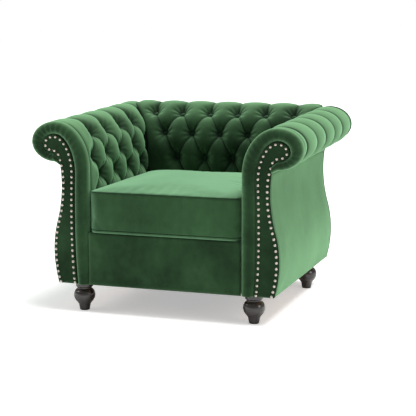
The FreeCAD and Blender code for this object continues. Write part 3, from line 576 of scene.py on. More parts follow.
def make_arm(side, first_row_shifted):
    """One arm's padding. The two arms' rows start half a pitch apart."""
    crest_z = arm_crest_front_z
    rows_up = [shoulder_length(arm_inner, arm_crest, shoulder_z, crest_z, angle) for angle in arm_row_angles]
    rows_up.append(arm_low_row_z - pad_foot_z)
    half = arm_pitch / 2
    top = arm_first_button + (half if first_row_shifted else 0.0)
    next_row = arm_first_button + (0.0 if first_row_shifted else half)
    tufting = Tufting(arm_pitch, top, rows_up, [top, next_row, top, next_row], [no_end] * 4, 3.0 + side)
    span = end_low.y - arm_front_y
    grid = tufted_grid(lambda t: arm_line(arm_front_y + span * t),
                       lambda line: (np.full(len(line), arm_front_y), np.zeros(len(line))), arm_end, tufting)
    return grid, tufting


def place_arm(points, side):
    """From an arm's own frame (out, along, up) to the chair's."""
    return points * np.array([side, 1.0, 1.0])


arms = {}
for side, word in both_sides:
    (surface, inner, base, normals, up, painted_fold_shade), tufting = make_arm(side, side < 0)
    points, faces = padded_shell(place_arm(surface, side), place_arm(inner, side))
    make_piece("arm_padding_" + word, points, faces, velvet_green, ["arm_pad_" + word],
               painted_shade_amount=painted_fold_shade.ravel())
    arms[word] = (base, normals, up, tufting, side)

# %% [markdown]
# ## The back
# The back is padded and buttoned in the same way, over the same outline with its own sizes. It lies the
# other way round, so its frame is turned by swapping two axes. Its top row has six buttons, and each row
# below starts half a pitch further in.

# %% The back
top_row_buttons = 6
back_pitch = 0.1145
back_row_angles = (58.0, 24.4)
back_low_row_z = 0.500

back_rows_up = [shoulder_length(back_inner, back_crest, shoulder_z, back_high.z, angle)
                for angle in back_row_angles]
back_rows_up.append(back_low_row_z - pad_foot_z)
first_button = -(top_row_buttons - 1) / 2 * back_pitch
firsts = [first_button + k * back_pitch / 2 for k in range(4)]
back_tufting = Tufting(back_pitch, first_button, back_rows_up, firsts, [-place for place in firsts], 1.7)


def back_reach(line):
    """Half the back's width at each height: to the arms' faces, and to its own ends above them."""
    face = face_at(line[:, 1], arm_crest, arm_inner, end_high.z)
    return line_ends(line, face, back_free_from, back_half_width)


def back_start(line):
    """The back's other end: the same reach to the left."""
    reach, tuck = back_reach(line)
    return -reach, tuck


back_surface, back_inside, back_base, back_normals, back_up, back_painted_fold_shade = tufted_grid(
    lambda t: back_line, back_start, back_reach, back_tufting)


def place_back(points):
    """From the back's own frame (out, along, up) to the chair's."""
    return points[..., [1, 0, 2]]


points, faces = padded_shell(place_back(back_surface), place_back(back_inside))
make_piece("back_padding", points, faces, velvet_green, ["back_pad"], painted_shade_amount=back_painted_fold_shade.ravel())

# %% [markdown]
# ## Covered buttons
# Each button is a small domed disc covered in velvet, a copy painted darker as shade, and pulled to the bottom
# of its dimple. The buttons of one side are one piece, turned along the padding's own direction at each place.

# %% Covered buttons
button_radius = 0.0105
button_height = 0.0045
button_shade = 0.6
button_margin = 0.012
button_sink = 0.3


def domed_ring(radius, height, centre, direction, rings=6, sides=28):
    """Points and faces of a dome on a short skirt, closed underneath."""
    direction = np.array(direction) / np.linalg.norm(direction)
    side = np.cross(direction, [0.0, 0.0, 1.0] if abs(direction[2]) < 0.9 else [1.0, 0.0, 0.0])
    side /= np.linalg.norm(side)
    other = np.cross(direction, side)
    angle = np.linspace(0.0, 2 * pi, sides, endpoint=False)
    circle = np.cos(angle)[:, None] * side + np.sin(angle)[:, None] * other
    levels = [(radius * 0.96, -height)] + [(radius * cos(t), height * sin(t))
                                           for t in np.linspace(0.0, pi / 2 * 0.94, rings)]
    points = [centre + r * circle + z * direction for r, z in levels]
    points = np.concatenate(points + [[centre + height * direction], [centre - height * direction]])
    faces = strip_faces(rings + 1, sides, wrap_columns=True)
    top, bottom = len(points) - 2, len(points) - 1
    last = rings * sides
    for k in range(sides):
        faces.append((last + k, last + (k + 1) % sides, top))
        faces.append((k, (k + 1) % sides, bottom))
    return points, faces


def join_parts(parts):
    """One list of points and faces from several."""
    points, faces, count = [], [], 0
    for part_points, part_faces in parts:
        points.append(part_points)
        faces += [tuple(index + count for index in face) for face in part_faces]
        count += len(part_points)
    return np.concatenate(points), faces


def cover_buttons(name, replaced, base, normals, up, tufting, place):
    """A button at every place of the tufting that lies on the grid, all in one piece."""
    made = []
    for number in range(row_count):
        row = int(np.argmin(np.abs(up - tufting.row_up[number])))
        line = base[row]
        for across in tufting.buttons(number):
            if not line[0, 1] + button_margin < across < line[-1, 1] - button_margin:
                continue
            column = int(np.argmin(np.abs(line[:, 1] - across)))
            out = normals[row, column]
            centre = line[column] - out * (well_depth - button_height * button_sink)
            made.append(domed_ring(button_radius, button_height, place(centre), place(out)))
    points, faces = join_parts(made)
    # Painted shade over every button, as if deep in its dimple.
    make_piece(name, points, faces, velvet_button_painted_darker, [replaced],
               painted_shade_amount=np.full(len(points), button_shade))
    print(name, "has", len(made), "buttons")


for word, (base, normals, up, tufting, side) in arms.items():
    cover_buttons("covered_buttons_" + word, "arm_buttons_" + word, base, normals, up, tufting,
                  lambda points: place_arm(points, side))
cover_buttons("covered_buttons_back", "back_buttons", back_base, back_normals, back_up, back_tufting,
              place_back)

# %% [markdown]
# ## The padded border of the arm's front
# A thick band follows the arm's front edge from the floor rail over the scroll to the neck. It is swept: at
# each place along the way a rounded section spans from the facing's edge to the arm's outer line.

# %% Helpers for outlines of several stretches
def resample(line, count):
    """The same line with evenly spaced points."""
    return points_at(line, np.linspace(0.0, travelled(line)[-1], count))


def matched(pieces_of_line, counts):
    """Join stretches of a line, each with its own number of points."""
    parts = [resample(piece, count)[:-1] for piece, count in zip(pieces_of_line, counts)]
    return np.concatenate(parts + [pieces_of_line[-1][-1:]])


def bowed(start, middle, end, count=30):
    """A smooth line through three points."""
    t = np.linspace(0.0, 1.0, count)[:, None]
    start, middle, end = map(np.array, (start, middle, end))
    control = 2 * middle - (start + end) / 2
    return start * (1 - t) ** 2 + control * 2 * t * (1 - t) + end * t ** 2


print("a bow through 0, 1 and 0 is", round(travelled(bowed((0, 0), (1, 1), (2, 0)))[-1], 3), "long")

# %% [markdown]
# ## The scroll's two outlines
# The border's outer line is the arm's own outline at the front. Its inner line is the edge of the facing: a
# nearly straight stile that bends over into a small scroll. Both are written as five stretches that belong
# together in pairs, with the same number of points, so that the border can be swept from one to the other.

# %% Border outlines
leg_top_z = panel_low.z
facing_foot, facing_side, facing_side_z = 0.330, 0.335, 0.500
facing_bow = (0.3385, 0.270)
facing_top = (0.413, 0.640)
facing_scroll_z, facing_scroll_width, facing_scroll_bottom = 0.604, 0.043, 0.571
facing_end = (0.393, 0.557)
crest_z = arm_crest_front_z
outer_stretches = [
    np.array([(arm_inner, leg_top_z), (arm_inner, shoulder_z)]),
    ellipse((arm_crest, shoulder_z), arm_crest - arm_inner, crest_z - shoulder_z, 180, 90, 40),
    ellipse((arm_crest, arm_roll_z), arm_outer - arm_crest, crest_z - arm_roll_z, 90, 0, 40),
    ellipse((arm_crest, arm_roll_z), arm_outer - arm_crest, arm_roll_z - arm_roll_bottom_z, 0, -90, 40),
    np.array([(arm_crest, arm_roll_bottom_z), arm_neck])]
scroll = (facing_top[0], facing_scroll_z)
inner_stretches = [
    bowed((facing_foot, leg_top_z), facing_bow, (facing_side, facing_side_z)),
    ellipse((facing_top[0], facing_side_z), facing_top[0] - facing_side, facing_top[1] - facing_side_z,
            180, 90, 40),
    ellipse(scroll, facing_scroll_width, facing_top[1] - facing_scroll_z, 90, 0, 40),
    ellipse(scroll, facing_scroll_width, facing_scroll_z - facing_scroll_bottom, 0, -90, 40),
    np.array([(facing_top[0], facing_scroll_bottom), facing_end])]
stretch_counts = [90, 60, 36, 36, 12]
border_outer = matched(outer_stretches, stretch_counts)
border_inner = matched(inner_stretches, stretch_counts)
print("border", round(travelled(border_outer)[-1], 3), "m outside,", round(travelled(border_inner)[-1], 3),
      "m inside")

# %% [markdown]
# ## Sweep the border
# A modifier could bevel a curve, but this section changes its width all the way, so the rings are worked out
# one by one: a rounded front, straight sides and a flat back. Over the scroll the cloth is gathered into small
# even ripples. Shade is painted dark into the groove where the border meets the facing, a little into the
# middle of the front, and onto the back.

# %% Sweep the border
border_back_y = border_high.y
section_angles = np.linspace(0.0, pi, 26)
border_depth = 0.029
border_side_y = front_y + 0.0295
border_seam_width = 0.003
border_fullness = 0.66
gather_start = 0.42
gather_blend = 0.10
gather_depth = 0.0009
gather_least = 0.4
gathers_per_metre = 250.0 / (2 * pi)
slow_wave = 0.0008
slow_waves_per_metre = 31.0 / (2 * pi)
groove_shade = 0.9
groove_width = 0.38
hollow_shade = 0.30
hollow_middle = 1.9
hollow_width = 0.55
back_shades = (1.0, 0.8, 0.0)


def border_points(side):
    """Rings of points: a rounded front, straight sides and a flat back."""
    rings = []
    along = travelled(border_outer)
    for index, (outer, inner) in enumerate(zip(border_outer, border_inner)):
        across = 0.5 - 0.5 * np.cos(section_angles)
        here = 2 * pi * along[index]
        gathered = float(smooth_step((along[index] - gather_start) / gather_blend))
        gather = gather_depth * (gather_least + (1.0 - gather_least) * gathered)
        ripple = gather * sin(here * gathers_per_metre + 2.0 * side)
        ripple += slow_wave * sin(here * slow_waves_per_metre)
        depth = border_depth * np.sin(section_angles) ** border_fullness
        flat = outer * (1.0 - across[:, None]) + inner * across[:, None]
        y = border_side_y - depth + ripple * np.sin(section_angles)
        ring = np.stack([side * flat[:, 0], y, flat[:, 1]], axis=1)
        back = [(side * inner[0], border_back_y, inner[1]), (side * outer[0], border_back_y, outer[1]),
                (side * outer[0], border_back_y - border_seam_width, outer[1])]
        rings.append(np.concatenate([ring, back]))
    return np.stack(rings)


for side, word in both_sides:
    rings = border_points(side)
    count, size = rings.shape[:2]
    faces = strip_faces(count, size, wrap_columns=True)
    faces.append(tuple(range(size)))
    faces.append(tuple(range((count - 1) * size, count * size)))
    # Painted shade: dark in the groove by the facing, softer in the middle of the front, and on the back.
    groove = groove_shade * np.exp(-(pi - section_angles) / groove_width)
    hollow = hollow_shade * np.exp(-((section_angles - hollow_middle) / hollow_width) ** 2)
    ring_shadow = np.concatenate([np.maximum(groove, hollow), back_shades])
    edge_shadow = np.tile(ring_shadow, count)
    make_piece("front_border_" + word, rings.reshape(-1, 3), faces, velvet_green,
               ["arm_border_" + word], painted_shade_amount=edge_shadow)

# %% [markdown]
# ## Flat covered panels
# The facing, the outside of the arms and the back are cloth stretched over boards. Each is a flat outline
# filled with a fine, even mesh, so that its rim can round over and its middle can swell a little.

# %% Fill an outline
beyond_all = 9.0
rim_clearance = 0.6
same_point = 1e-7


def panel_points(outline, spacing):
    """An even mesh inside a closed outline: points in the plane, triangles and the outline's own points."""
    length = travelled(np.concatenate([outline, outline[:1]]))[-1]
    rim = resample(np.concatenate([outline, outline[:1]]), int(length / spacing))[:-1]
    low, high = rim.min(axis=0), rim.max(axis=0)
    grid = np.stack(np.meshgrid(np.arange(low[0], high[0], spacing), np.arange(low[1], high[1], spacing)),
                    axis=-1).reshape(-1, 2)
    grid = grid[rim_distance(grid, rim) > spacing * rim_clearance]
    grid = grid[inside(grid, rim)]
    every = np.concatenate([rim, grid])
    rim_loop = list(range(len(rim)))
    filled = geometry.delaunay_2d_cdt([Vector(point) for point in every], [], [rim_loop], 1, same_point)
    flat = np.array([tuple(point) for point in filled[0]])
    return flat, [tuple(face) for face in filled[2]], rim


def rim_distance(points, rim):
    """How far points are from a closed outline."""
    nearest = np.full(len(points), beyond_all)
    for start, end in zip(rim, np.roll(rim, -1, axis=0)):
        step = end - start
        share = np.clip((points - start) @ step / max(step @ step, 1e-12), 0.0, 1.0)
        nearest = np.minimum(nearest, np.linalg.norm(points - start - share[:, None] * step, axis=1))
    return nearest


def inside(points, rim):
    """Which points lie inside a closed outline."""
    within = np.zeros(len(points), bool)
    for (x0, y0), (x1, y1) in zip(rim, np.roll(rim, -1, axis=0)):
        crosses = (y0 > points[:, 1]) != (y1 > points[:, 1])
        reach = x0 + (points[:, 1] - y0) * (x1 - x0) / (y1 - y0 + 1e-15)
        within ^= crosses & (points[:, 0] < reach)
    return within


unit_square = np.array([(0.0, 0.0), (1.0, 0.0), (1.0, 1.0), (0.0, 1.0)])
print("a square metre filled every 0.1 m has", len(panel_points(unit_square, 0.1)[0]), "points")

# %% [markdown]
# ## Give a panel its thickness
# The filled outline is used twice, once for the front and once for the back, and walls join their rims. The
# front swells slowly towards the middle, rolls over at the rim, and has a faint slow wave, as stretched
# cloth has.

# %% A panel with a soft front
swell_reach = 0.07
rim_roundness = 0.6
wave_height = 0.0007
wave_reach = 0.04
rim_shadow_width = 0.0025


def soft_panel(name, outline, place, thickness, replaced, swell, round_rim, spacing=0.006, shade=0.0,
               rim_shade=0.8, material=velvet_green):
    """A panel whose front swells and rounds over at the rim. The place turns (u, v, depth) into a point."""
    flat, triangles, rim = panel_points(outline, spacing)
    far = rim_distance(flat, rim)
    near_rim = np.clip(1.0 - far / round_rim, 0.0, 1.0)
    rounding = round_rim * (1.0 - np.sqrt(1.0 - near_rim ** 2)) * rim_roundness
    wave = wave_height * np.sin(flat[:, 0] * 31.0 + flat[:, 1] * 17.0) * smooth_step(far / wave_reach)
    depth = swell * smooth_step(far / swell_reach) - rounding + wave
    count = len(flat)
    front = place(flat[:, 0], flat[:, 1], depth)
    back = place(flat[:, 0], flat[:, 1], np.full(count, -thickness))
    points = np.concatenate([front, back])
    edges = {}
    for face in triangles:
        for start, end in zip(face, face[1:] + face[:1]):
            edges[(start, end)] = True
    walls = [(start, end, end + count, start + count) for start, end in edges if (end, start) not in edges]
    faces = triangles + [tuple(index + count for index in face[::-1]) for face in triangles] + walls
    # Painted shade: dark along the rim, and an even amount over the whole panel where a shade is given.
    return make_piece(name, points, faces, material, replaced,
                      painted_shade_amount=np.maximum(rim_shade * np.exp(-far / rim_shadow_width), shade))


print("a panel swells over", swell_reach * 100, "cm from its rim")

# %% [markdown]
# ## The facings
# The facing is the flat scroll inside the border. Its outer edge is also the outline of the chair's side:
# out over a low belly, in again to a waist, and up to the neck under the roll. Two bows give that line, and
# it is used again for the outside panels and the nails.

# %% The facings
side_foot = (0.404, leg_top_z)
side_belly = (0.421, 0.220)
side_bend = (0.404, 0.335)
side_waist = (0.388, 0.432)
facing_counts = [40, 30, 20, 20, 6]
side_line = np.concatenate([bowed(side_foot, side_belly, side_bend, 20)[:-1],
                            bowed(side_bend, side_waist, arm_neck, 20)])
facing_edge = matched(inner_stretches, facing_counts)
facing_outline = np.concatenate([facing_edge, [arm_neck], side_line[::-1][1:]])
cover_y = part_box("facing_cover_right")[0].y
cover_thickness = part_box("facing_cover_right")[1].y - cover_y
for side, word in both_sides:
    # The facing is painted darker all over, as shade in its recess inside the border.
    soft_panel("facing_" + word, facing_outline,
               lambda u, v, d: np.stack([side * u, cover_y - d, v], axis=1), cover_thickness,
               ["facing_cover_" + word], swell=0.0018, round_rim=0.006, spacing=0.0045, shade=0.32)

# %% [markdown]
# ## Outside panels
# The outside of each arm follows the facing's edge and runs straight to the rear, so it is a curved sheet
# and not a flat outline: a grid with one direction along that edge and the other along the chair. It is
# drawn in at its four edges, where the cloth is pulled under. The back's outside is a flat panel that
# closes the chair behind.

# %% Outside panels
panel_rows = resample(side_line, 90)
panel_columns = np.linspace(panel_low.y, panel_high.y, 150)
side_swell = 0.0022
side_swell_reach = 0.09
side_edge_reach = 0.010
side_wave = 0.0003
side_wave_reach = 0.06
side_thickness = 0.0035


def outside_grid(side, inset):
    """A grid on the outside of an arm, drawn in at its edges."""
    low = travelled(panel_rows)[:, None]
    tall = low[-1]
    deep = panel_columns[None, :]
    edge = np.minimum(np.minimum(low, tall - low), np.minimum(deep - panel_low.y, panel_high.y - deep))
    full = side_swell * (smooth_step(edge / side_swell_reach) - 1.0 + smooth_step(edge / side_edge_reach))
    full = full + side_wave * np.sin(deep * 13.0 + low * 7.0) * smooth_step(edge / side_wave_reach)
    x = panel_rows[:, 0][:, None] + full - inset
    return np.stack([side * x, deep + 0 * x, panel_rows[:, 1][:, None] + 0 * x], axis=-1)


def thick_sheet(front, back):
    """A closed solid between two grids of the same size."""
    rows, columns = front.shape[:2]
    points = np.concatenate([front.reshape(-1, 3), back.reshape(-1, 3)])
    total = rows * columns
    faces = strip_faces(rows, columns)
    faces += [tuple(index + total for index in face) for face in faces]
    number = np.arange(total).reshape(rows, columns)
    rim = np.concatenate([number[0], number[1:, -1], number[-1, -2::-1], number[-2:0:-1, 0]])
    for start, end in zip(rim, np.roll(rim, -1)):
        faces.append((int(start), int(end), int(end) + total, int(start) + total))
    return points, faces


for side, word in both_sides:
    points, faces = thick_sheet(outside_grid(side, 0.0), outside_grid(side, side_thickness))
    make_piece("outside_arm_" + word, points, faces, velvet_green, ["arm_panel_" + word])

back_panel_low, back_panel_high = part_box("outside_back_panel")
half_outline = np.concatenate([side_line, [(back_half_width, arm_neck[1]), (back_half_width, back_neck[1])]])
back_outline = np.concatenate([half_outline, half_outline[::-1] * np.array([-1.0, 1.0])])
soft_panel("outside_back", back_outline, lambda u, v, d: np.stack([u, back_panel_high.y + d, v], axis=1),
           back_panel_high.y - back_panel_low.y, ["outside_back_panel"], swell=0.0025, round_rim=0.005,
           spacing=0.010)

# %% [markdown]
# ## Covered ends of the rolls
# At the rear each arm's roll ends in a flat panel with the roll's own outline, and so does each end of the
# back's roll. They are set in a little, so that the padding stands round them like a lip.

# %% Covered ends of the arms' rolls
end_inset = 0.0045
end_centre = (arm_crest, arm_roll_z + arm_rise)
end_reach = arm_outer - arm_crest - end_inset
roll_end = ellipse(end_centre, end_reach, end_high.z - end_centre[1] - end_inset, 90, 0, 30)
roll_under = ellipse(end_centre, end_reach, arm_roll_z - arm_roll_bottom_z - end_inset, 0, arm_under_angle, 30)
face_up = ellipse((arm_crest, shoulder_z), arm_crest - arm_inner - end_inset,
                  end_high.z - shoulder_z - end_inset, 180, 90, 60)
cover_x = back_half_width + hair_gap
face_up = face_up[face_up[:, 0] > cover_x]
end_outline = np.concatenate([face_up, roll_end[1:], roll_under[1:], [arm_neck, (cover_x, arm_neck[1])]])
for side, word in both_sides:
    soft_panel("roll_end_" + word, end_outline,
               lambda u, v, d: np.stack([side * u, end_high.y + d, v], axis=1), end_high.y - end_low.y,
               ["arm_end_cover_" + word], swell=0.002, round_rim=0.004, rim_shade=0.1)

# %% [markdown]
# ## Covered ends of the back's roll
# The back's roll shows only behind the arms, so its end panels are the part of the outline that lies
# further back than the arms' ends.

# %% Covered ends of the back's roll
behind = back_line[(back_line[:, 0] > back_neck[0] + 0.001) & (back_line[:, 1] > back_neck[1])]
over_top = back_line[back_line[:, 1] > back_roll_z]
behind_top = np.interp(back_neck[0], over_top[:, 0], over_top[:, 1])
roll_middle = np.array([back_crest, back_roll_z])
from_middle = behind - roll_middle
behind = behind - from_middle * end_inset / np.linalg.norm(from_middle, axis=1, keepdims=True)
behind = behind[behind[:, 0] > back_neck[0]]
behind_outline = np.concatenate([[(back_neck[0], behind_top - end_inset)], behind, [back_neck]])
cap_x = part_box("back_end_covers")[1].x
for side, word in both_sides:
    soft_panel("back_roll_end_" + word, behind_outline,
               lambda u, v, d: np.stack([side * (cap_x + d), u, v], axis=1), cap_x - back_half_width,
               ["back_end_covers"] if side > 0 else [], swell=0.001, round_rim=0.003, spacing=0.005,
               rim_shade=0.1)

# %% [markdown]
# ## The apron
# Between the arms a plain padded panel covers the front rail. Its pile has been brushed in several
# directions, so it looks mottled.

# %% Apron
def rectangle(left, bottom, right, top):
    """The four corners of an upright rectangle."""
    return np.array([(left, bottom), (right, bottom), (right, top), (left, top)])


apron_low, apron_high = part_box("apron_panel")
apron_outline = rectangle(apron_low.x, apron_low.z, apron_high.x, apron_high.z)
soft_panel("apron", apron_outline, lambda u, v, d: np.stack([u, apron_low.y - d, v], axis=1),
           apron_high.y - apron_low.y, ["apron_panel"], swell=0.0035, round_rim=0.006)

# %% [markdown]
# ## The seat cushion
# A loose cushion is two large panels joined by a band, the boxing, with foam inside. The top panel is
# crowned and the bottom one lies flat on the deck. The cover is first made as a plain shell of quads in the
# shape it was sewn to, with even spacing, because cloth moves well only on an even mesh.

# %% Cushion form
cushion_low, cushion_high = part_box("seat_cushion_cover")
cushion_edge_z = 0.4385
cushion_spacing = 0.0085
side_clearance = 0.003
rear_clearance = 0.002
deck_clearance = 0.0005
boxing_levels = 16
corner_round = 0.030
crown_drop = 0.008
crown_flatness = 2.6


def round_corners(flat, half, middle, reach):
    """Turn the square corners of a flat grid into round ones."""
    shifted = flat - middle
    core = half - reach
    over = (np.abs(shifted) - core) / reach
    corner = (over > 0.0).all(axis=-1)
    u, v = np.clip(over[..., 0], 0.0, 1.0), np.clip(over[..., 1], 0.0, 1.0)
    bent = np.stack([u * np.sqrt(1 - v ** 2 / 2), v * np.sqrt(1 - u ** 2 / 2)], axis=-1)
    rounded = np.sign(shifted) * (core + bent * reach)
    return middle + np.where(corner[..., None], rounded, shifted)


def cushion_shell():
    """The cover: a panel above, a panel below, and the boxing between them."""
    half = np.array([cushion_high.x - side_clearance, (cushion_high.y - cushion_low.y) / 2 - rear_clearance])
    middle = np.array([0.0, (cushion_high.y + cushion_low.y) / 2])
    nx, ny = (int(2 * size / cushion_spacing) for size in half)
    across, along = np.meshgrid(np.linspace(-1, 1, nx), np.linspace(-1, 1, ny), indexing="ij")
    flat = middle + np.stack([across * half[0], along * half[1]], axis=-1)
    flat = round_corners(flat, half, middle, corner_round)
    lift = np.sqrt((1 - np.abs(across) ** crown_flatness) * (1 - np.abs(along) ** crown_flatness))
    top_z = cushion_edge_z + (cushion_high.z - cushion_edge_z - crown_drop) * lift
    bottom_z = cushion_low.z + deck_clearance
    top = np.concatenate([flat, top_z[..., None]], axis=-1)
    bottom = np.concatenate([flat, np.full((nx, ny, 1), bottom_z)], axis=-1)
    number = np.arange(nx * ny).reshape(nx, ny)
    rim = np.concatenate([number[:, 0], number[-1, 1:], number[-2::-1, -1], number[0, -2:0:-1]])
    ring = top.reshape(-1, 3)[rim]
    total = nx * ny
    faces = strip_faces(nx, ny) + [tuple(index + total for index in face) for face in strip_faces(nx, ny)]
    points = [top.reshape(-1, 3), bottom.reshape(-1, 3)]
    rings = [rim]
    for level in np.linspace(1.0, 0.0, boxing_levels)[1:-1]:
        rings.append(2 * total + len(rim) * (len(rings) - 1) + np.arange(len(rim)))
        height = bottom_z + (ring[:, 2] - bottom_z) * level
        points.append(np.stack([ring[:, 0], ring[:, 1], height], axis=1))
    rings.append(rim + total)
    for upper, lower in zip(rings, rings[1:]):
        for k in range(len(rim)):
            after = (k + 1) % len(rim)
            faces.append((int(upper[k]), int(upper[after]), int(lower[after]), int(lower[k])))
    return np.concatenate(points), faces, rings


points, faces, cushion_rings = cushion_shell()
cushion = make_piece("seat_cushion", points, faces, velvet_seat_painted_lighter,
                     ["seat_cushion_cover", "seat_cushion_foam"], body="seat_cushion")

# %% [markdown]
# ## Fill the cushion
# A cloth simulation with a little pressure pulls and fills the cover, so the panels crown, the seams stay
# crisp and the fabric near the seams falls into short soft wrinkles by itself. Gravity is off and the seams
# are held. The settled shape is written back to the mesh, softly limited so that the cushion keeps its
# place.

# %% Fill the cushion by simulation
most_movement = 0.007
front_clearance = 0.003
seam_hold = 0.9
settling_frames = 18


def keep_inside(after, before):
    """Limit softly how far the cloth moved, and keep it between the arms and the back."""
    moved = after - before
    length = np.linalg.norm(moved, axis=1, keepdims=True)
    moved *= most_movement * np.tanh(length / most_movement) / np.maximum(length, 1e-9)
    points = before + moved
    points[:, 0] = np.clip(points[:, 0], cushion_low.x, cushion_high.x)
    points[:, 1] = np.clip(points[:, 1], front_y + front_clearance, cushion_high.y)
    points[:, 2] = np.maximum(points[:, 2], cushion_low.z)
    return points


def simulate(piece):
    """Pressure inside the cover, with the seams and the bottom panel held."""
    group = piece.vertex_groups.new(name="seams")
    held_z = cushion_low.z + 2 * deck_clearance
    below = [vertex.index for vertex in piece.data.vertices if vertex.co.z < held_z]
    group.add(below, 1.0, "REPLACE")
    group.add(cushion_rings[0].tolist(), seam_hold, "REPLACE")
    cloth = piece.modifiers.new("cloth", "CLOTH")
    settings = cloth.settings
    settings.quality = 6
    settings.mass = 0.4
    settings.vertex_group_mass = "seams"
    settings.use_pressure = True
    settings.uniform_pressure_force = 2.0
    settings.tension_stiffness = settings.compression_stiffness = 25.0
    settings.bending_stiffness = 0.6
    settings.shrink_min = -0.004
    settings.effector_weights.gravity = 0.0
    cloth.collision_settings.use_collision = False
    before = np.array([tuple(vertex.co) for vertex in piece.data.vertices])
    scene = bpy.context.scene
    for frame_number in range(1, settling_frames + 1):
        scene.frame_set(frame_number)
    settled = piece.evaluated_get(bpy.context.evaluated_depsgraph_get()).to_mesh()
    after = np.array([tuple(vertex.co) for vertex in settled.vertices])
    piece.modifiers.remove(cloth)
    scene.frame_set(1)
    points = keep_inside(after, before)
    piece.data.vertices.foreach_set("co", points.astype(np.float32).ravel())
    piece.data.update()
    print("cushion moved up to", round(float(np.abs(after - before).max()) * 1000, 1), "mm")


simulate(cushion)

# %% [markdown]
# ## The cushion's seams
# The panels are sewn to the boxing with a narrow, self-covered edge. It follows the settled cover, so it is
# a thin tube swept along two rings of the cushion's own points.

# %% Cushion seams
seam_radius = 0.0016
seam_shade = 0.8


def swept_tube(path, radius, sides=10):
    """A closed ring of tube along a closed path."""
    ahead = np.roll(path, -1, axis=0) - np.roll(path, 1, axis=0)
    ahead /= np.linalg.norm(ahead, axis=1, keepdims=True)
    up = np.array([0.0, 0.0, 1.0])
    side = np.cross(ahead, up)
    side /= np.linalg.norm(side, axis=1, keepdims=True)
    angle = np.linspace(0.0, 2 * pi, sides, endpoint=False)
    ring = path[:, None, :] + radius * (np.cos(angle)[None, :, None] * side[:, None, :]
                                        + np.sin(angle)[None, :, None] * up)
    return ring.reshape(-1, 3), strip_faces(len(path), sides, True, True)


cushion_points = np.array([tuple(vertex.co) for vertex in cushion.data.vertices])
sewn_rings = (cushion_rings[0], cushion_rings[-2])
points, faces = join_parts([swept_tube(cushion_points[ring], seam_radius) for ring in sewn_rings])
# The seam tube is painted dark, as shade along a sewn edge.
make_piece("cushion_seams", points, faces, velvet_seat_painted_lighter, body="seat_cushion",
           painted_shade_amount=np.full(len(points), seam_shade))

# %% [markdown]
# ## Turned legs
# The legs are hardwood with a nearly black stain under a glossy lacquer. The grain runs upright and hardly
# shows through, so a noise that is drawn out along the leg mixes two very dark browns. The lacquer is the
# shader's coat.

# %% Espresso stain
wood, wood_tree, wood_shader = new_material("espresso_wood")
wood_place = node(wood_tree, "ShaderNodeTexCoord").outputs["Object"]
drawn_out = node(wood_tree, "ShaderNodeVectorMath", {0: wood_place, 1: (60.0, 60.0, 5.0)},
                 operation="MULTIPLY")
fibres = node(wood_tree, "ShaderNodeTexNoise", {"Vector": drawn_out.outputs[0], "Scale": 1.6, "Detail": 5.0,
                                                "Distortion": 0.4})
stain = node(wood_tree, "ShaderNodeMix", {"Factor": fibres.outputs["Fac"], "A": (0.0075, 0.005, 0.004, 1.0),
                                          "B": (0.022, 0.014, 0.010, 1.0)}, data_type="RGBA")
wood_tree.links.new(stain.outputs["Result"], wood_shader["Base Color"])
wood_bump = node(wood_tree, "ShaderNodeBump", {"Height": fibres.outputs["Fac"], "Strength": 0.15,
                                               "Distance": 0.0004})
wood_tree.links.new(wood_bump.outputs[0], wood_shader["Normal"])
wood_shader["Roughness"].default_value = 0.38
wood_shader["Coat Weight"].default_value = 0.9
wood_shader["Coat Roughness"].default_value = 0.10
print("stain:", wood.name)

# %% [markdown]
# ## Turn the legs
# Each leg was turned on a lathe from one block: a collar under the chair, a short neck, a ball, a ring and
# a tapered foot. A lathe shape is a profile that is spun. The profile is written here as the radius and the
# height of each place where it turns, in metres, and then smoothed a little, as sandpaper would.

# %% Turn the legs
profile_points = 150
sanding_passes = 3
leg_profile = [(0.0165, 0.0), (0.0178, 0.0012), (0.0186, 0.006), (0.0205, 0.017), (0.0214, 0.0225),
               (0.0232, 0.0240), (0.0248, 0.0258), (0.0250, 0.0280), (0.0262, 0.0290), (0.0318, 0.0350),
               (0.0362, 0.0430), (0.0384, 0.0510), (0.0388, 0.0575), (0.0380, 0.0640), (0.0352, 0.0710),
               (0.0308, 0.0765), (0.0266, 0.0796), (0.0262, 0.0812), (0.0263, 0.0838), (0.0275, 0.0850),
               (0.0300, 0.0865), (0.0314, 0.0885), (0.0315, 0.0910), (0.0315, leg_top_z - 0.0010),
               (0.0308, leg_top_z)]


def turned_leg(name, centre, profile, sides=96):
    """Spin a profile round an upright line."""
    soft = resample(np.array(profile), profile_points)
    for _ in range(sanding_passes):
        soft[1:-1] = (soft[:-2] + 2 * soft[1:-1] + soft[2:]) / 4
    angle = np.linspace(0.0, 2 * pi, sides, endpoint=False)
    rings = np.stack([centre.x + soft[:, :1] * np.cos(angle), centre.y + soft[:, :1] * np.sin(angle),
                      np.repeat(soft[:, 1:], sides, axis=1)], axis=-1)
    faces = strip_faces(len(soft), sides, wrap_columns=True)
    faces.append(tuple(range(sides)))
    faces.append(tuple(range((len(soft) - 1) * sides, len(soft) * sides)))
    return make_piece(name, rings.reshape(-1, 3), faces, wood, [name.replace("turned_", "")])


for leg in ("front_leg_left", "front_leg_right", "rear_leg_left", "rear_leg_right"):
    leg_low, leg_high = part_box(leg)
    turned_leg("turned_" + leg, (leg_low + leg_high) / 2, leg_profile)

# %% [markdown]
# ## Nails
# Domed nickel nails hold the facing's edge. They start at the foot of the inner side, follow the scroll and
# come down the outer side, evenly spaced. Each is a low dome, and all the nails of one side are one piece.
# Their metal is slightly warm, and a fine noise varies its gloss.

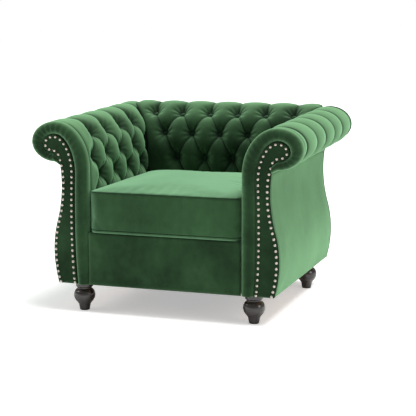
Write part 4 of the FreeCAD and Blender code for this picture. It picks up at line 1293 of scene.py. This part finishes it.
# %% Nickel
nickel, nickel_tree, nickel_shader = new_material("nail_nickel")
tarnish = node(nickel_tree, "ShaderNodeTexNoise", {"Scale": 420.0, "Detail": 3.0})
worn = node(nickel_tree, "ShaderNodeMapRange", {"Value": tarnish.outputs["Fac"], "To Min": 0.22,
                                                "To Max": 0.42})
nickel_tree.links.new(worn.outputs[0], nickel_shader["Roughness"])
nickel_shader["Base Color"].default_value = (0.72, 0.62, 0.56, 1.0)
nickel_shader["Metallic"].default_value = 1.0
print("metal:", nickel.name)

# %% [markdown]
# ## Set the nails
# The line of nails is the facing's edge moved inwards. It skips the sharp corner at the neck, and the first
# and last nails stand clear of the bottom edge.

# %% Nail heads
nail_radius = 0.0047
nail_height = 0.0032
nail_pitch = 0.0205
nail_inset = 0.0095
nail_seat = 0.0014
foot_clearance = 0.0055
edge_points = 500
side_points = 400
scroll_end_skipped = 8
side_top_skipped = 12


def inset_line(line, distance):
    """A line moved to its right-hand side by a distance."""
    ahead = np.gradient(line, axis=0)
    ahead /= np.linalg.norm(ahead, axis=1, keepdims=True)
    return line + distance * np.stack([ahead[:, 1], -ahead[:, 0]], axis=1)


inner_nails = inset_line(resample(facing_edge, edge_points), nail_inset)[:-scroll_end_skipped]
outer_nails = inset_line(resample(side_line[::-1], side_points), nail_inset)[side_top_skipped:]
nail_line = np.concatenate([inner_nails, outer_nails])
nail_count = int(round(travelled(nail_line)[-1] / nail_pitch)) + 1
nail_places = resample(nail_line, nail_count)
nail_places[:, 1] = np.maximum(nail_places[:, 1], leg_top_z + foot_clearance)
for side, word in both_sides:
    heads = []
    for u, v in nail_places:
        centre = np.array([side * u, cover_y - nail_seat, v])
        heads.append(domed_ring(nail_radius, nail_height, centre, (0.0, -1.0, 0.0), rings=5, sides=20))
    points, faces = join_parts(heads)
    make_piece("nail_heads_" + word, points, faces, nickel, ["nails_" + word])
print(nail_count, "nails on each side")

# %% [markdown]
# ## What the cover hides
# The timber, the springs and the fasteners are real pieces of the chair and keep their construction shapes.
# Each kind gets a finish of its own, so that it looks right wherever it can be seen. One function is enough
# for all of them, because each is two shades of one colour mixed by a noise, drawn out along the grain for
# the timber.

# %% Plain finishes
def plain_finish(name, dark, light, scale, roughness, metallic=0.0, stretch=(1.0, 1.0, 1.0)):
    """Two shades mixed by a stretched noise, and a bump from the same noise."""
    material, tree, shader = new_material(name)
    place = node(tree, "ShaderNodeTexCoord").outputs["Object"]
    drawn = node(tree, "ShaderNodeVectorMath", {0: place, 1: stretch}, operation="MULTIPLY")
    noise = node(tree, "ShaderNodeTexNoise", {"Vector": drawn.outputs[0], "Scale": scale, "Detail": 4.0})
    mix = node(tree, "ShaderNodeMix", {"Factor": noise.outputs["Fac"], "A": (*dark, 1.0), "B": (*light, 1.0)},
               data_type="RGBA")
    tree.links.new(mix.outputs["Result"], shader["Base Color"])
    bump = node(tree, "ShaderNodeBump", {"Height": noise.outputs["Fac"], "Strength": 0.2, "Distance": 0.0005})
    tree.links.new(bump.outputs[0], shader["Normal"])
    shader["Roughness"].default_value = roughness
    shader["Metallic"].default_value = metallic
    return material


finishes = {
    "frame_timber": plain_finish("beech", (0.42, 0.26, 0.13), (0.60, 0.40, 0.22), 9.0, 0.6,
                                 stretch=(1.0, 1.0, 12.0)),
    "roll_filling": plain_finish("wadding", (0.60, 0.57, 0.50), (0.75, 0.72, 0.65), 60.0, 0.95),
    "deck_felt": plain_finish("felt", (0.20, 0.20, 0.19), (0.34, 0.33, 0.31), 220.0, 0.95),
    "deck_canvas": plain_finish("canvas", (0.05, 0.12, 0.06), (0.08, 0.18, 0.09), 300.0, 0.9),
    "dust_cloth": plain_finish("dust_cloth", (0.012, 0.012, 0.012), (0.03, 0.03, 0.03), 400.0, 0.95),
    "spring_steel": plain_finish("spring_steel", (0.20, 0.20, 0.21), (0.34, 0.34, 0.35), 90.0, 0.4, 1.0),
    "fastener_steel": plain_finish("zinc_steel", (0.45, 0.46, 0.48), (0.60, 0.61, 0.62), 120.0, 0.35, 1.0)}
print("plain finishes:", ", ".join(finishes))

# %% [markdown]
# ## Give the inner pieces their finishes
# These pieces aren't rebuilt: their own material slots simply take the new finish.

# %% Dress the inner pieces
kinds = {
    "frame_timber": ["seat_front_rail", "seat_rear_rail", "seat_side_rails", "apron_board", "arm_base_boards",
                     "arm_front_board_left", "arm_front_board_right", "arm_rear_board_left",
                     "arm_rear_board_right", "arm_inner_rails", "arm_outer_rails", "arm_top_rails",
                     "back_bottom_rail", "back_inner_rail", "back_middle_rail", "back_side_boards",
                     "back_top_rail", "facing_board_left", "facing_board_right"],
    "roll_filling": ["arm_roll_core_left", "arm_roll_core_right", "back_roll_core"],
    "spring_steel": ["seat_springs"],
    "fastener_steel": ["spring_clips", "leg_bolts", "leg_tee_nuts", "back_bolts", "back_nuts"]}
for kind, names in kinds.items():
    for name in names:
        inner_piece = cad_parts[name]
        inner_piece.data.materials.clear()
        inner_piece.data.materials.append(finishes[kind])
print("finished", sum(len(names) for names in kinds.values()), "inner pieces")

# %% [markdown]
# ## The deck and the cloth underneath
# Below the cushion, felt lies on the springs and a green canvas is stretched over it and stapled to the
# rails. A black cloth closes the chair from below. The canvas and the black cloth are sheets, cut to the
# size of the frame they are stapled to.

# %% Deck and dust cloth
layer_rim = 0.001
layer_spacing = 0.012
flat_layers = (("seat_deck_cloth", "deck_cloth", "deck_canvas", 1),
               ("seat_deck_felt", "deck_pad", "deck_felt", 1),
               ("under_cloth", "dust_cover", "dust_cloth", -1))
for name, layer, finish, facing in flat_layers:
    low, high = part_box(layer)
    outer = high.z if facing > 0 else low.z
    soft_panel(name, rectangle(low.x, low.y, high.x, high.y),
               lambda u, v, d: np.stack([u, v, outer + facing * d], axis=1), high.z - low.z, [layer],
               swell=0.0, round_rim=layer_rim, spacing=layer_spacing, material=finishes[finish])
for name, layer, held_by in (("seat_deck_cloth", "deck_cloth", "seat_deck_felt"),
                             ("under_cloth", "dust_cover", "arm_base_boards")):
    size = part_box(layer)[1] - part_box(layer)[0]
    print(name, "is cut", round(size.x, 3), "by", round(size.y, 3), "m")

# %% [markdown]
# ## Padded pieces
# Everything filled with wadding or foam is declared as padded, so that a later scene knows how soft it is.
# The plain panels have only a thin layer of wadding, pulled tight.

# %% [markdown]
# Seen by the camera it also glows a little, so that it comes out nearly as white as what lies beyond it.

# %% Floor
floor_material, floor_tree, floor_shader = new_material("studio_floor")
floor_shader["Base Color"].default_value = (0.93, 0.93, 0.93, 1.0)
floor_shader["Roughness"].default_value = 0.9
floor_shader["Specular IOR Level"].default_value = 0.1
floor_seen = node(floor_tree, "ShaderNodeLightPath").outputs["Is Camera Ray"]
floor_tree.links.new(floor_seen, floor_shader["Emission Color"])
floor_shader["Emission Strength"].default_value = 0.42
floor_mesh = bpy.data.meshes.new("floor")
floor_size = 30.0
floor_corners = rectangle(-floor_size, -floor_size, floor_size, floor_size)
floor_mesh.from_pydata([(x, y, 0.0) for x, y in floor_corners.tolist()], [], [(0, 1, 2, 3)])
floor_mesh.materials.append(floor_material)
floor = bpy.data.objects.new("floor", floor_mesh)
bpy.context.scene.collection.objects.link(floor)
print("floor", 2 * floor_size, "m wide")

# %% [markdown]
# ## The surroundings
# White walls all round light the chair evenly and dimly. A second background, which only the camera sees,
# is pure white paper, so the dim light doesn't make the picture grey.

# %% Surroundings
world = bpy.data.worlds.new("studio")
bpy.context.scene.world = world
world.use_nodes = True
sky = world.node_tree
seen = node(sky, "ShaderNodeLightPath").outputs["Is Camera Ray"]
lighting = sky.nodes["Background"]
lighting.inputs["Color"].default_value = (1.0, 1.0, 1.0, 1.0)
lighting.inputs["Strength"].default_value = 0.30
paper = node(sky, "ShaderNodeBackground", {"Color": (1.0, 1.0, 1.0, 1.0), "Strength": 1.0})
choice = node(sky, "ShaderNodeMixShader", {0: seen, 1: lighting.outputs[0], 2: paper.outputs[0]})
sky.links.new(choice.outputs[0], sky.nodes["World Output"].inputs["Surface"])
print("surroundings:", world.name)

# %% [markdown]
# ## Lights
# Most of the light comes from nearly overhead and is very soft: a sun with a wide angle, so the tops of the
# cushion and of the rolls are pale and the fronts darker. Two square lamps, one on each side, lift the
# outside panel and the facings.

# %% Lights

def area_light(name, place, target, size, power):
    """A square soft light that looks at a point."""
    data = bpy.data.lights.new(name, "AREA")
    data.energy = power
    data.size = size
    lamp = bpy.data.objects.new(name, data)
    lamp.location = place
    lamp.rotation_euler = (Vector(target) - Vector(place)).to_track_quat("-Z", "Y").to_euler()
    bpy.context.scene.collection.objects.link(lamp)
    print(name, "lamp", power, "W")


sun = bpy.data.lights.new("overhead", "SUN")
sun.energy = 3.2
sun.angle = radians(30)
overhead = bpy.data.objects.new("overhead", sun)
overhead.rotation_euler = Vector((0.7, 0.2, 2.6)).to_track_quat("Z", "Y").to_euler()
bpy.context.scene.collection.objects.link(overhead)
area_light("right", (3.2, -0.9, 1.5), (0.3, 0.0, 0.4), 1.2, 17.0)
area_light("left", (-2.8, -0.8, 1.8), (0.0, 0.0, 0.4), 1.0, 19.0)

# %% [markdown]
# ## The camera
# A long lens from a little above the seat, to the chair's right, gives the calm outlines of a catalogue
# picture. Its place was fitted to the chair's known corners.

# %% Camera
camera_data = bpy.data.cameras.new("camera")
camera_data.sensor_width = 36.0
camera_data.lens = 109.2
camera = bpy.data.objects.new("camera", camera_data)
bpy.context.scene.collection.objects.link(camera)
bpy.context.scene.camera = camera
camera.location = (1.553741, -4.455057, 1.088822)
camera_yaw, camera_pitch, camera_roll = 0.330, 0.159, 0.002
camera.rotation_euler = (pi / 2 - camera_pitch, camera_roll, camera_yaw)
camera.rotation_mode = "XYZ"
print("camera", round(camera.location.length, 2), "m from the chair's middle")

# %% [markdown]
# ## Colours as they are
# A filmic view transform would soften the white of the studio, so the plain one is used.

# %% View transform
bpy.context.scene.view_settings.view_transform = "Standard"
print("view transform:", bpy.context.scene.view_settings.view_transform)
